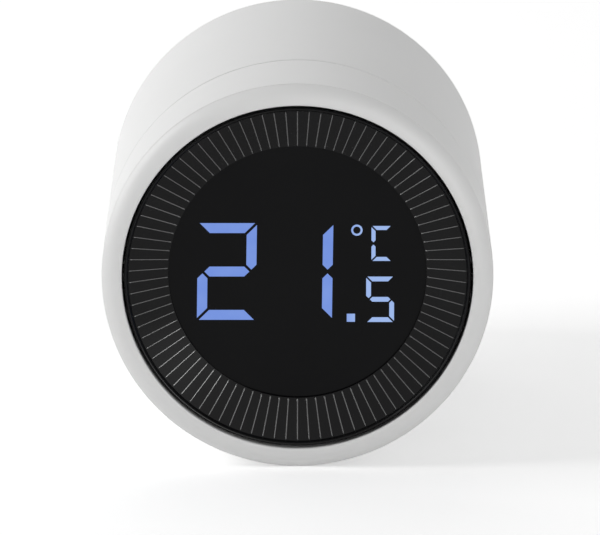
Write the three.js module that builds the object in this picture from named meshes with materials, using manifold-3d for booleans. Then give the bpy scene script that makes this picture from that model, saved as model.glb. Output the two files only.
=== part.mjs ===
// A motor-driven radiator thermostat head with a turning setting ring, in millimetres.
// The display faces -Y, the valve union opens towards +Y, and +Z is up. The origin is the centre of
// the union nut's mouth. Inside the head group, y is the distance behind the front rim of the ring.
import * as THREE from "three";
import { mergeVertices } from "three/addons/utils/BufferGeometryUtils.js";
import Module from "manifold-3d";

const wasm = await Module();
wasm.setup();

// ---- Driving dimensions ----
const HEAD_RADIUS = 28;
const HEAD_LENGTH = 65; // front rim to the rear edge of the body
const SHELL_WALL = 1.8;
const RING_LENGTH = 18;
const SEAM = 0.4; // between the setting ring and the body
const FIT = 0.3; // between pieces that touch
const RUN = 0.3; // between pieces that turn or slide on each other

// Face
const RIM_WIDTH = 2.9; // the rounded front face of the ring
const RIM_CROWN = 0.8; // how far it stands forward at its inner edge
const FUNNEL_DEPTH = 2.9;
const DISPLAY_RADIUS = 18.5;
const WINDOW_THICKNESS = 0.9;
const PRESS_TRAVEL = 0.4;
const GUIDE_THICKNESS = 0.6;
const SEGMENT_RAISE = 0.6;
const PCB_THICKNESS = 1;
const LEG_RADIUS = 1.5;
const DIGIT_WIDTH = 8.6;
const DIGIT_HEIGHT = 14.4;
const DIGIT_STROKE = 1.55;
const SMALL_DIGIT_WIDTH = 4.1;
const SMALL_DIGIT_HEIGHT = 6.7;
const SMALL_DIGIT_STROKE = 0.75;

// Chassis
const PCB_STANDOFF = 4.2; // circuit board to chassis plate
const CHASSIS_PLATE = 1.2;
const BARREL_WALL = 1;
const BARREL_REAR = 3.5; // how far the barrel reaches behind the seam

// Cells: two AA
const CELL_RADIUS = 7.25;
const CELL_LENGTH = 50.5;
const CELL_X = 13.5;
const CELL_Z = -10;
const TRAY_WALL = 0.8;
const CONTACT_THICKNESS = 0.3;
const DOOR_LAP = 4; // degrees that the door's rails reach under the body

// Ring gear and encoder pinion
const RING_MODULE = 0.8;
const ENCODER_TEETH = 14;
const ENCODER_SHAFT_RADIUS = 1.5;

// Gear train
const DRIVE_MODULE = 0.5;
const PINION_TEETH = 14;
const WHEEL_TEETH = 34;
const WHEEL_WIDTH = 2;
const DRIVE_WIDTH = 2.6;
const PRESSURE_ANGLE = THREE.MathUtils.degToRad(20);
const PIN_RADIUS = 1;
const POST_RADIUS = 2.2;
const SIDE_POST_ANGLE = 29; // degrees below the wheel's centre
const GEARBOX_PLATE = 1.2;
const MOTOR_RADIUS = 7.75;
const MOTOR_LENGTH = 20;
const SPINDLE_RADIUS = 2.9;
const SPINDLE_PITCH = 1.5;
const SPINDLE_THREAD = 8;
const SQUARE_SIZE = 6;
const PAD_RADIUS = 5.5;

// Valve connection, M30 x 1.5
const THREAD_MINOR_RADIUS = 14.25;
const THREAD_PITCH = 1.5;
const NUT_RADIUS = 17.4;
const NUT_LENGTH = 19.5;
const NUT_FLANGE = 7.3;
const NUT_RIBS = 24;
const SPIGOT_BORE = 10.5;
const SPIGOT_RADIUS = 12.2;
const SEAT_DEPTH = 9.5; // seat face to the nut's mouth
const COLLAR_HEIGHT = 2.2;
const CAP_THICKNESS = 1.8;

const SHELL_SIDES = 40;
const MID_SIDES = 24;
const SMALL_SIDES = 12;
const SCREW_SIDES = 8;

// ---- Places that follow from them ----
const MOUTH = HEAD_LENGTH + 0.5 + NUT_LENGTH; // front rim to the nut's mouth
const SHELL_BORE = HEAD_RADIUS - SHELL_WALL;
const RING_LAND = SHELL_BORE - 0.5;
const BARREL_RADIUS = RING_LAND - RUN;
const BARREL_BORE = BARREL_RADIUS - BARREL_WALL;
const INSIDE_RADIUS = BARREL_BORE - FIT;
const RIM_BORE = HEAD_RADIUS - RIM_WIDTH;
const FACE_RADIUS = RIM_BORE - RUN;

const windowFront = FUNNEL_DEPTH + 0.5;
const windowRear = windowFront + WINDOW_THICKNESS;
const bezelRear = windowRear + 0.1;
const guideFront = windowRear + PRESS_TRAVEL + 0.2;
const guideRear = guideFront + SEGMENT_RAISE + GUIDE_THICKNESS;
const pcbFront = guideRear + FIT;
const pcbRear = pcbFront + PCB_THICKNESS;
const chassisFront = pcbRear + PCB_STANDOFF;
const chassisRear = chassisFront + CHASSIS_PLATE;
const barrelRear = RING_LENGTH + SEAM + BARREL_REAR;
const sleeveFront = RING_LENGTH + SEAM;
const openingFront = sleeveFront + 2;

const WINDOW_RECESS = DISPLAY_RADIUS + 0.6;
const WINDOW_RADIUS = WINDOW_RECESS - FIT;
const LEG_CIRCLE = WINDOW_RECESS + 0.2 + LEG_RADIUS;
const LEG_ANGLES = [30, 150, 270];
const SWITCH_CIRCLE = LEG_CIRCLE + 0.5;
const SWITCH_SIZE = 4.2;

const RING_TEETH = Math.floor((2 * (SHELL_BORE - 0.9)) / RING_MODULE);
const RING_PITCH_RADIUS = (RING_MODULE * RING_TEETH) / 2;
const RING_GEAR_TIP = RING_PITCH_RADIUS - 0.7 * RING_MODULE;
const ENCODER_Z = RING_PITCH_RADIUS - (RING_MODULE * ENCODER_TEETH) / 2;
const PCB_RADIUS = RING_GEAR_TIP - 0.8;
const PCB_SCREW_CIRCLE = PCB_RADIUS - 2.8;
const PCB_SCREW_ANGLES = [120, 290];
const ringGearFront = pcbRear + 0.8;
const ringGearRear = ringGearFront + 3;

const trayFront = pcbRear + 0.4;
const bayFront = trayFront + TRAY_WALL;
const TROUGH_BORE = CELL_RADIUS + FIT;
const TROUGH_RADIUS = TROUGH_BORE + TRAY_WALL;
const TRAY_SCREW = [CELL_X + 5.8, CELL_Z + 11.8];
const contactFront = bayFront + FIT;
const cellFront = contactFront + CONTACT_THICKNESS + FIT;
const doorHalfAngle = THREE.MathUtils.radToDeg(Math.asin((CELL_X + CELL_RADIUS + FIT) / SHELL_BORE));

const capFront = HEAD_LENGTH - CAP_THICKNESS;
const rearContactRear = capFront - FIT;
const rearContactFront = rearContactRear - CONTACT_THICKNESS;
const springRoom = rearContactFront - FIT - (cellFront + CELL_LENGTH + FIT);
const bossFront = capFront - 2.2;
const driveRear = bossFront - 0.5;
const rearPlateRear = capFront - 7;
const rearPlateFront = rearPlateRear - GEARBOX_PLATE;
const driveTeethRear = rearPlateFront - 1.3;
const driveTeethFront = driveTeethRear - DRIVE_WIDTH;
const midPlateRear = driveTeethFront - 1.1;
const midPlateFront = midPlateRear - 1;
const wheel2Rear = midPlateFront - 0.2;
const wheel2Front = wheel2Rear - WHEEL_WIDTH;
const wheel1Rear = wheel2Front - 1.6;
const wheel1Front = wheel1Rear - WHEEL_WIDTH;
const frontPlateRear = wheel1Front - 1.7;
const frontPlateFront = frontPlateRear - GEARBOX_PLATE;
const motorRear = frontPlateFront - FIT;

const CENTRE_DISTANCE = (DRIVE_MODULE * (PINION_TEETH + WHEEL_TEETH)) / 2;
const SHAFT_X = CENTRE_DISTANCE / 2;
const SHAFT_Z = CENTRE_DISTANCE * Math.sin(Math.PI / 3);
const WHEEL_TIP = DRIVE_MODULE * (WHEEL_TEETH / 2 + 0.8);
const PINION_TIP = DRIVE_MODULE * (PINION_TEETH / 2 + 0.8);
const HUB_RADIUS = 5.5;
const WASHER_RADIUS = CENTRE_DISTANCE - PINION_TIP - 1.1;
const SPINDLE_BORE = SPINDLE_RADIUS + 0.2;
const POST_REACH = WHEEL_TIP + POST_RADIUS + 0.6;

const seatFace = MOUTH - SEAT_DEPTH;
const COLLAR_BORE = SPIGOT_RADIUS - 0.3;
const NECK_RADIUS = COLLAR_BORE - FIT;
const COLLAR_RADIUS = THREAD_MINOR_RADIUS - 0.45;

const WHITE = { color: 0xf2f1ee, roughness: 0.42, metalness: 0 };
const GLOSS_BLACK = { color: 0x0b0b0d, roughness: 0.12, metalness: 0 };
const BLACK = { color: 0x17181a, roughness: 0.5, metalness: 0 };
const GREY = { color: 0x9a9da0, roughness: 0.5, metalness: 0 };
const BOARD = { color: 0x1f5a38, roughness: 0.45, metalness: 0 };
const STEEL = { color: 0xb4b6b8, roughness: 0.3, metalness: 1 };
const NICKEL = { color: 0xc9c6bd, roughness: 0.28, metalness: 1 };
const ALUMINIUM = { color: 0xc8cacc, roughness: 0.35, metalness: 1 };
const ACETAL = { color: 0xe4e0d2, roughness: 0.45, metalness: 0 };
const CLEAR = { color: 0xdfe6f5, roughness: 0.2, metalness: 0 };
const BRASS = { color: 0xb9933f, roughness: 0.3, metalness: 1 };
const RED = { color: 0xa32020, roughness: 0.5, metalness: 0 };

// ---- Solids ----
// A closed geometry as a solid that can be joined and cut.
function solidFrom(geometry) {
  const bare = geometry.clone();
  bare.deleteAttribute("normal");
  bare.deleteAttribute("uv");
  const merged = mergeVertices(bare, 1e-4);
  const vertProperties = merged.attributes.position.array;
  const triVerts = new Uint32Array(merged.index.array);
  return new wasm.Manifold(new wasm.Mesh({ numProp: 3, vertProperties, triVerts }));
}

// A solid back as a geometry with flat shading.
function geometryFrom(solid) {
  const mesh = solid.getMesh();
  const geometry = new THREE.BufferGeometry();
  geometry.setAttribute("position", new THREE.BufferAttribute(mesh.vertProperties, 3));
  geometry.setIndex(new THREE.BufferAttribute(mesh.triVerts, 1));
  const flat = geometry.toNonIndexed();
  flat.computeVertexNormals();
  return flat;
}

// A solid turned about the axis from an outline of [radius, distance] points, closed on itself.
function turned(outline, sides = SHELL_SIDES) {
  const points = outline.map(([radius, distance]) => new THREE.Vector2(radius, distance));
  if (THREE.ShapeUtils.area(points) < 0) points.reverse();
  if (outline.every(([radius]) => radius > 0)) points.push(points[0].clone());
  return solidFrom(new THREE.LatheGeometry(points, sides));
}

function tube(outer, inner, from, to, sides = SHELL_SIDES) {
  return turned(
    [
      [inner, from],
      [outer, from],
      [outer, to],
      [inner, to],
    ],
    sides,
  );
}

function rod(radius, from, to, [x, z] = [0, 0], sides = SMALL_SIDES) {
  const geometry = new THREE.CylinderGeometry(radius, radius, to - from, sides);
  geometry.translate(x, (from + to) / 2, z);
  return solidFrom(geometry);
}

function block([x0, x1], [from, to], [z0, z1]) {
  const geometry = new THREE.BoxGeometry(x1 - x0, to - from, z1 - z0);
  geometry.translate((x0 + x1) / 2, (from + to) / 2, (z0 + z1) / 2);
  return solidFrom(geometry);
}

// A flat outline in X and Z, drawn out along the axis.
function drawnOut(shape, from, to, curveSegments = 12) {
  const settings = { depth: to - from, bevelEnabled: false, curveSegments };
  const geometry = new THREE.ExtrudeGeometry(shape, settings);
  geometry.rotateX(Math.PI / 2);
  geometry.translate(0, to, 0);
  return solidFrom(geometry);
}

function joined(first, ...others) {
  return others.reduce((whole, other) => whole.add(other), first);
}

function cut(first, ...others) {
  return others.reduce((whole, other) => whole.subtract(other), first);
}

// The [x, z] point at an angle, in degrees from +X towards +Z, on a circle about a centre.
function polar(radius, degrees, [x, z] = [0, 0]) {
  const angle = THREE.MathUtils.degToRad(degrees);
  return [x + radius * Math.cos(angle), z + radius * Math.sin(angle)];
}

function circle(radius) {
  return new THREE.Shape().absarc(0, 0, radius, 0, 2 * Math.PI);
}

// Part of a ring between two angles in degrees.
function ringSector(outer, inner, start, end) {
  const a = THREE.MathUtils.degToRad(start);
  const b = THREE.MathUtils.degToRad(end);
  const shape = new THREE.Shape();
  shape.absarc(0, 0, outer, a, b, false);
  shape.absarc(0, 0, inner, b, a, true);
  shape.closePath();
  return shape;
}

// The outline of round corners on a convex polygon, given anticlockwise.
function roundedOutline(corners, radius) {
  const shape = new THREE.Shape();
  corners.forEach(([x, z], i) => {
    const [px, pz] = corners[(i + corners.length - 1) % corners.length];
    const [nx, nz] = corners[(i + 1) % corners.length];
    const start = Math.atan2(z - pz, x - px) - Math.PI / 2;
    const end = Math.atan2(nz - z, nx - x) - Math.PI / 2;
    shape.absarc(x, z, radius, start, end, false);
  });
  shape.closePath();
  return shape;
}

// ---- Gears ----
function involute(angle) {
  return Math.tan(angle) - angle;
}

// Half the angle that a tooth fills at a radius.
function toothHalfAngle(pitch, thickness, radius) {
  const lean = Math.acos(Math.min(1, (pitch * Math.cos(PRESSURE_ANGLE)) / radius));
  return thickness / (2 * pitch) + involute(PRESSURE_ANGLE) - involute(lean);
}

// A toothed outline: thickness is measured on the pitch circle, and start is one tooth's angle.
function toothed(module, teeth, { tip, root, thickness, start = 0, steps = 2 }) {
  const pitch = (module * teeth) / 2;
  const radii = Array.from({ length: steps + 1 }, (_, i) => root + ((tip - root) * i) / steps);
  const points = [];
  for (let tooth = 0; tooth < teeth; tooth++) {
    const middle = start + (2 * Math.PI * tooth) / teeth;
    for (const side of [-1, 1]) {
      const flank = side < 0 ? radii : [...radii].reverse();
      for (const radius of flank) {
        const angle = middle + side * toothHalfAngle(pitch, thickness, radius);
        points.push(new THREE.Vector2(radius * Math.cos(angle), radius * Math.sin(angle)));
      }
    }
  }
  return new THREE.Shape(points);
}

function externalGear(module, teeth, start, steps) {
  return toothed(module, teeth, {
    tip: module * (teeth / 2 + 0.8),
    root: module * (teeth / 2 - 1.1),
    thickness: (Math.PI * module) / 2 - 0.24 * module,
    start,
    steps,
  });
}

const halfTooth = Math.PI / PINION_TEETH;

// ---- Fasteners ----
// A slotted screw with its head at y < 0 and its shank along +Y.
function screwSolid(shank, length, head, height) {
  const body = turned(
    [
      [0, -height],
      [head, -height * 0.6],
      [head, 0],
      [shank, 0],
      [shank, length],
      [0, length],
    ],
    SCREW_SIDES,
  );
  const blade = head * 0.16;
  return cut(body, block([-head - 1, head + 1], [-height - 1, -height * 0.5], [-blade, blade]));
}

function piece(parent, name, solid, finish, [x, y, z] = [0, 0, 0]) {
  const mesh = new THREE.Mesh(geometryFrom(solid), new THREE.MeshStandardMaterial(finish));
  mesh.name = name;
  mesh.position.set(x, y, z);
  parent.add(mesh);
  return mesh;
}

// ---- Setting ring ----
function settingRing() {
  const shell = turned([
    [RIM_BORE, -RIM_CROWN + 0.15],
    [RIM_BORE + 0.35, -RIM_CROWN],
    [RIM_BORE + 1.3, -RIM_CROWN + 0.1],
    [HEAD_RADIUS - 0.5, -0.15],
    [HEAD_RADIUS, 0.5],
    [HEAD_RADIUS, RING_LENGTH],
    [RING_LAND + 0.3, RING_LENGTH],
    [RING_LAND, RING_LENGTH - 0.4],
    [RING_LAND, RING_LENGTH - 3],
    [SHELL_BORE, RING_LENGTH - 3],
    [SHELL_BORE, 2],
    [RIM_BORE, 2],
  ]);
  const spaces = toothed(RING_MODULE, RING_TEETH, {
    tip: RING_PITCH_RADIUS + RING_MODULE,
    root: RING_GEAR_TIP,
    thickness: (Math.PI * RING_MODULE) / 2 + 0.15 * RING_MODULE,
    start: Math.PI / 2,
    steps: 1,
  });
  const band = rod(SHELL_BORE + 0.4, ringGearFront, ringGearRear, [0, 0], SHELL_SIDES);
  return joined(shell, cut(band, drawnOut(spaces, ringGearFront - 1, ringGearRear + 1)));
}

const clipFront = chassisRear + 0.6;
const CLIP_THICKNESS = 0.8;
const CLIP_RADIUS = RING_LAND + 0.25;

function ringClip() {
  const shape = ringSector(CLIP_RADIUS, BARREL_RADIUS - 0.4, -70, 250);
  return drawnOut(shape, clipFront, clipFront + CLIP_THICKNESS, 20);
}

// ---- Face ----
function faceBezel() {
  const dish = turned([
    [FACE_RADIUS, -0.35],
    [FACE_RADIUS - 0.3, -0.5],
    [FACE_RADIUS - 0.55, -0.35],
    [FACE_RADIUS - 0.65, 0.3],
    [DISPLAY_RADIUS, FUNNEL_DEPTH],
    [DISPLAY_RADIUS, FUNNEL_DEPTH + 0.3],
    [WINDOW_RECESS, FUNNEL_DEPTH + 0.3],
    [WINDOW_RECESS, bezelRear],
    [FACE_RADIUS, bezelRear],
  ]);
  const legs = LEG_ANGLES.map((angle) => {
    const place = polar(LEG_CIRCLE, angle);
    const barb = rod(LEG_RADIUS + 0.7, chassisRear + FIT, chassisRear + 1.3, place);
    return joined(rod(LEG_RADIUS, bezelRear - 0.2, chassisRear + 1.3, place), barb);
  });
  return joined(dish, ...legs);
}

function displayWindow() {
  return rod(WINDOW_RADIUS, windowFront, windowRear, [0, 0], SHELL_SIDES);
}

const PLUNGER_RADIUS = 1.4;
const switchFront = bezelRear + 0.8;
const switchRear = pcbFront - FIT;

function switchPlunger() {
  return rod(PLUNGER_RADIUS, bezelRear + FIT, pcbFront - PRESS_TRAVEL - 0.1, [0, 0]);
}

function tactSwitch() {
  const half = SWITCH_SIZE / 2;
  const body = block([-half, half], [switchFront, switchRear], [-half, half]);
  return cut(body, rod(PLUNGER_RADIUS + 0.25, switchFront - 1, switchRear + 1));
}

// The seven bars of a digit about its centre, as [x0, x1, z0, z1].
function digitBars(width, height, stroke, gap) {
  const x = width / 2;
  const z = height / 2;
  const ends = [-x + stroke + gap, x - stroke - gap];
  const bars = [z - stroke, -stroke / 2, -z].map((low) => [...ends, low, low + stroke]);
  for (const left of [-x, x - stroke]) {
    bars.push([left, left + stroke, gap, z - gap]);
    bars.push([left, left + stroke, -z + gap, -gap]);
  }
  return bars;
}

const DISPLAY_DIGITS = [
  { x: -9.9, z: 0, size: [DIGIT_WIDTH, DIGIT_HEIGHT, DIGIT_STROKE] },
  { x: 1, z: 0, size: [DIGIT_WIDTH, DIGIT_HEIGHT, DIGIT_STROKE] },
  { x: 12.05, z: -4.05, size: [SMALL_DIGIT_WIDTH, SMALL_DIGIT_HEIGHT, SMALL_DIGIT_STROKE] },
];
const GUIDE_HALF = [15.4, 8.4];
const HOUSING_WALL = 0.7;

function ledLightGuide() {
  const [halfX, halfZ] = GUIDE_HALF;
  const plateFront = guideFront + SEGMENT_RAISE;
  const raised = [guideFront, plateFront + 0.1];
  let guide = block([-halfX, halfX], [plateFront, guideRear], [-halfZ, halfZ]);
  for (const { x, z, size } of DISPLAY_DIGITS) {
    for (const [x0, x1, z0, z1] of digitBars(...size, 0.15)) {
      guide = guide.add(block([x + x0, x + x1], raised, [z + z0, z + z1]));
    }
  }
  const point = block([7.2, 8.4], raised, [-7.3, -6.1]);
  const unit = block([10.7, 13.7], raised, [1.5, 6.8]);
  const unitHollow = block([11.35, 14], [guideFront - 1, plateFront], [2.15, 6.15]);
  const degree = rod(0.86, ...raised, [8.7, 6.2], SCREW_SIDES);
  return joined(guide, point, cut(unit, unitHollow), degree);
}

function ledHousing() {
  const [halfX, halfZ] = GUIDE_HALF.map((half) => half + FIT);
  const [outX, outZ] = [halfX + HOUSING_WALL, halfZ + HOUSING_WALL];
  const body = block([-outX, outX], [guideFront, guideRear], [-outZ, outZ]);
  return cut(body, block([-halfX, halfX], [guideFront - 1, guideRear + 1], [-halfZ, halfZ]));
}

// ---- Circuit board ----
const ENCODER = [0, ENCODER_Z];
const LEAD_HOLE = [-4, 6];

function mainPcb() {
  const through = [pcbFront - 1, pcbRear + 1];
  const holes = [
    ...LEG_ANGLES.map((angle) => rod(LEG_RADIUS + 0.5, ...through, polar(LEG_CIRCLE, angle))),
    ...PCB_SCREW_ANGLES.map((angle) => rod(1, ...through, polar(PCB_SCREW_CIRCLE, angle))),
  ];
  return cut(rod(PCB_RADIUS, pcbFront, pcbRear, [0, 0], MID_SIDES), ...holes);
}

const chipFront = pcbRear + FIT;

function encoderBody() {
  const rear = chassisRear + FIT + 4.4;
  const body = block([-5.5, 5.5], [chassisRear + FIT, rear], [ENCODER_Z - 6.1, ENCODER_Z + 3.8]);
  return cut(body, rod(ENCODER_SHAFT_RADIUS + FIT, chassisRear - 1, rear - 1.8, ENCODER));
}

// ---- Chassis ----
const CELL_PLACES = [
  [-CELL_X, CELL_Z],
  [CELL_X, CELL_Z],
];
const encoderGearFront = ringGearFront + 0.2;
const encoderGearRear = ringGearRear - 0.3;

function chassis() {
  const beadFront = sleeveFront + 1.2;
  const barrel = turned([
    [BARREL_BORE, chassisFront],
    [BARREL_RADIUS, chassisFront],
    [BARREL_RADIUS, clipFront - 0.15],
    [BARREL_RADIUS - 0.6, clipFront - 0.15],
    [BARREL_RADIUS - 0.6, clipFront + CLIP_THICKNESS + 0.15],
    [BARREL_RADIUS, clipFront + CLIP_THICKNESS + 0.15],
    [BARREL_RADIUS, sleeveFront + 0.4],
    [SHELL_BORE - FIT, sleeveFront + 0.4],
    [SHELL_BORE - FIT, beadFront],
    [SHELL_BORE + 0.1, beadFront + 0.25],
    [SHELL_BORE - FIT, beadFront + 0.5],
    [SHELL_BORE - FIT, barrelRear],
    [BARREL_BORE, barrelRear],
  ]);
  const plate = rod(BARREL_BORE + 0.3, chassisFront, chassisRear, [0, 0], SHELL_SIDES);
  const pcbPlaces = PCB_SCREW_ANGLES.map((angle) => polar(PCB_SCREW_CIRCLE, angle));
  const trayPlaces = [TRAY_SCREW, [-TRAY_SCREW[0], TRAY_SCREW[1]]];
  const through = [chassisFront - 1, chassisRear + 1];
  const reach = CELL_X + TROUGH_RADIUS + FIT;
  const drop = [CELL_Z - CELL_RADIUS - 0.35, CELL_Z + TROUGH_RADIUS + 0.35];
  const trayWindow = block([-reach, reach], through, drop).intersect(
    rod(BARREL_BORE, ...through, [0, 0], SHELL_SIDES),
  );
  const cellRoom = CELL_PLACES.map((place) =>
    rod(CELL_RADIUS + 0.15, chassisFront - 1, barrelRear + 1, place, MID_SIDES),
  );
  const bosses = [
    ...pcbPlaces.map((place) => rod(2, chipFront, chassisFront + 0.1, place)),
    ...trayPlaces.map((place) => rod(2.2, chassisFront - 2.4, chassisFront + 0.1, place)),
  ];
  const holes = [
    ...pcbPlaces.map((place) => rod(0.8, chipFront - 1, chassisFront + 0.4, place)),
    ...trayPlaces.map((place) => rod(1, chassisFront - 1.9, chassisRear + 1, place)),
    ...LEG_ANGLES.map((angle) => rod(LEG_RADIUS + 0.4, ...through, polar(LEG_CIRCLE, angle))),
    rod(ENCODER_SHAFT_RADIUS + FIT, ...through, ENCODER),
    rod(3, ...through, LEAD_HOLE),
  ];
  return cut(joined(barrel, plate, ...bosses), trayWindow, ...cellRoom, ...holes);
}

// ---- Battery tray and cells ----
const troughRear = rearContactFront - FIT;

function batteryTray() {
  const half = CELL_X + TROUGH_RADIUS;
  const height = [CELL_Z - CELL_RADIUS, CELL_Z + TROUGH_RADIUS];
  const wall = block([-half, half], [trayFront, bayFront], height);
  const along = [bayFront - 0.1, troughRear];
  const web = block([-CELL_X + 6, CELL_X - 6], along, [CELL_Z - 2, CELL_Z - 0.8]);
  const troughs = CELL_PLACES.map((place) => rod(TROUGH_RADIUS, ...along, place, MID_SIDES));
  const bores = CELL_PLACES.map((place) => rod(TROUGH_BORE, bayFront, troughRear + 1, place, MID_SIDES));
  const mouths = CELL_PLACES.map(([x]) =>
    block([x - 9, x + 9], [bayFront, troughRear + 1], [CELL_Z - 12, CELL_Z - 2.4]),
  );
  const tabs = [-1, 1].map((side) => {
    const ends = [side * (TRAY_SCREW[0] - 2.4), side * (TRAY_SCREW[0] + 2.4)].sort((a, b) => a - b);
    return block(ends, [chassisRear + FIT, chassisRear + 1.8], [CELL_Z + 4, TRAY_SCREW[1] + 2.4]);
  });
  const tabHoles = [-1, 1].map((side) => {
    const place = [side * TRAY_SCREW[0], TRAY_SCREW[1]];
    return rod(1.1, chassisRear - 1, chassisRear + 3, place);
  });
  const solderSlots = CELL_PLACES.map(([x, z]) =>
    block([x - 1.5, x + 1.5], [trayFront - 1, bayFront + 1], [z - 0.6, z + 0.6]),
  );
  const gearDepth = [driveTeethFront - 0.4, driveTeethRear + 0.4];
  const gearRoom = rod(WHEEL_TIP + 0.6, ...gearDepth, [0, 0], MID_SIDES);
  const whole = cut(joined(wall, web, ...troughs, ...tabs), ...mouths, ...bores);
  return cut(whole, ...tabHoles, ...solderSlots, gearRoom).intersect(
    rod(INSIDE_RADIUS, trayFront - 1, troughRear + 1, [0, 0], SHELL_SIDES),
  );
}

// An AA cell about its own axis: y runs from the button end to the flat end.
function cellSolid() {
  const [button, step] = [2.75, 1];
  return turned(
    [
      [0, 0],
      [button, 0],
      [button, step],
      [CELL_RADIUS - 0.6, step],
      [CELL_RADIUS, step + 0.4],
      [CELL_RADIUS, CELL_LENGTH - 0.4],
      [CELL_RADIUS - 0.5, CELL_LENGTH],
      [0, CELL_LENGTH],
    ],
    20,
  );
}

function frontContact() {
  const plate = block([-4.5, 4.5], [0, CONTACT_THICKNESS], [-4.5, 4.5]);
  return plate.add(block([-1.1, 1.1], [pcbRear + FIT - contactFront, 0.1], [-0.3, 0.3]));
}

function rearContact() {
  const reach = CELL_X + 4.5;
  return block([-reach, reach], [rearContactFront, rearContactRear], [CELL_Z - 4, CELL_Z + 3.6]);
}

// A conical spring that closes flat, wide end at y = 0.
function contactSpring(height) {
  const wire = 0.25;
  const turns = 3;
  const path = new THREE.Curve();
  path.getPoint = (t) => {
    const radius = THREE.MathUtils.lerp(3.8, 1.6, t);
    const angle = 2 * Math.PI * turns * t;
    const rise = wire + (height - 2 * wire) * t;
    return new THREE.Vector3(radius * Math.cos(angle), rise, radius * Math.sin(angle));
  };
  const section = new THREE.Shape().absarc(0, 0, wire, 0, 2 * Math.PI);
  const settings = { steps: 32, extrudePath: path, curveSegments: 3 };
  return solidFrom(new THREE.ExtrudeGeometry(section, settings));
}

// ---- Body ----
const SLEEVE_BOSS_CIRCLE = SHELL_BORE - 2.6;
const SLEEVE_BOSS_ANGLES = [0, 50, 130, 180];
const DOOR_GAP_ANGLE = 0.6;

function bodySleeve() {
  const beadFront = sleeveFront + 1;
  const shell = turned([
    [SHELL_BORE, sleeveFront],
    [HEAD_RADIUS - 0.15, sleeveFront],
    [HEAD_RADIUS, sleeveFront + 0.15],
    [HEAD_RADIUS, HEAD_LENGTH - 0.6],
    [HEAD_RADIUS - 0.6, HEAD_LENGTH],
    [SHELL_BORE, HEAD_LENGTH],
    [SHELL_BORE, beadFront + 1],
    [SHELL_BORE + 0.4, beadFront + 0.9],
    [SHELL_BORE + 0.4, beadFront + 0.1],
    [SHELL_BORE, beadFront],
  ]);
  const sides = [-90 - doorHalfAngle, -90 + doorHalfAngle];
  const opening = ringSector(HEAD_RADIUS + 2, SHELL_BORE - 2, ...sides);
  const places = SLEEVE_BOSS_ANGLES.map((angle) => polar(SLEEVE_BOSS_CIRCLE, angle));
  const bossEnds = [capFront - 6, capFront - FIT];
  const bosses = places.map((place) => rod(2, ...bossEnds, place));
  const lugs = SLEEVE_BOSS_ANGLES.map((angle) =>
    drawnOut(ringSector(SHELL_BORE + 0.3, SLEEVE_BOSS_CIRCLE, angle - 3, angle + 3), ...bossEnds, 1),
  );
  const holes = places.map((place) => rod(0.9, capFront - 5, capFront + 1, place));
  const open = cut(shell, drawnOut(opening, openingFront, HEAD_LENGTH + 1, 8));
  return cut(joined(open, ...bosses, ...lugs), ...holes);
}

const doorFront = openingFront + 0.4;

function batteryDoor() {
  const half = doorHalfAngle - DOOR_GAP_ANGLE;
  const panel = ringSector(HEAD_RADIUS, SHELL_BORE, -90 - half, -90 + half);
  const shell = drawnOut(panel, doorFront, HEAD_LENGTH, 9);
  const railEnd = doorHalfAngle + DOOR_LAP;
  const rails = [-1, 1].flatMap((side) => {
    const sector = (outer, from, to) => {
      const ends = [-90 + side * from, -90 + side * to].sort((a, b) => a - b);
      const rail = ringSector(outer, INSIDE_RADIUS + 0.6, ...ends);
      return drawnOut(rail, doorFront + 1.2, troughRear, 2);
    };
    return [sector(SHELL_BORE - FIT, half - 4, railEnd), sector(SHELL_BORE + 0.2, half - 4, half)];
  });
  return joined(shell, ...rails);
}

// ---- Gearbox ----
const SHAFT_1 = [SHAFT_X, SHAFT_Z];
const SHAFT_2 = [-SHAFT_X, SHAFT_Z];
const TOP_POST = [0, SHAFT_Z + Math.sqrt(POST_REACH ** 2 - SHAFT_X ** 2)];
const POSTS = [
  polar(POST_REACH, 180 + SIDE_POST_ANGLE, SHAFT_2),
  polar(POST_REACH, -SIDE_POST_ANGLE, SHAFT_1),
  TOP_POST,
];
const MOTOR_SCREW_REACH = 5;
const MOTOR_SCREWS = [-1, 1].map((side) => [SHAFT_2[0], SHAFT_2[1] + side * MOTOR_SCREW_REACH]);

function gearboxPlate(from, to, postTo, withHub) {
  const outline = drawnOut(roundedOutline(POSTS, POST_RADIUS + 0.4), from, to, 4);
  const posts = postTo ? POSTS.map((place) => rod(POST_RADIUS, to - 0.1, postTo, place)) : [];
  const hub = withHub ? [rod(HUB_RADIUS + 2.5, from, to, [0, 0], MID_SIDES)] : [];
  const holes = POSTS.map((place) => rod(1.1, from - 1, (postTo || to) + 1, place, SCREW_SIDES));
  return cut(joined(outline, ...hub, ...posts), ...holes);
}

function frontPlate() {
  const plate = gearboxPlate(frontPlateFront, frontPlateRear, midPlateFront - FIT, false);
  const through = [frontPlateFront - 1, frontPlateRear + 1];
  const screwHoles = MOTOR_SCREWS.map((place) => rod(1, ...through, place, SCREW_SIDES));
  const pinHole = rod(PIN_RADIUS + 0.1, ...through, SHAFT_1);
  return cut(plate, rod(2.6, ...through, SHAFT_2), pinHole, ...screwHoles);
}

function midPlate() {
  const plate = gearboxPlate(midPlateFront, midPlateRear, rearPlateFront - FIT, true);
  const through = [midPlateFront - 1, midPlateRear + 1];
  const pinionRoom = rod(PINION_TIP + 0.5, ...through, SHAFT_2);
  const pinHole = rod(PIN_RADIUS + 0.1, ...through, SHAFT_1);
  return cut(plate, pinionRoom, pinHole, rod(SPINDLE_BORE + 0.4, ...through));
}

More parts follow.
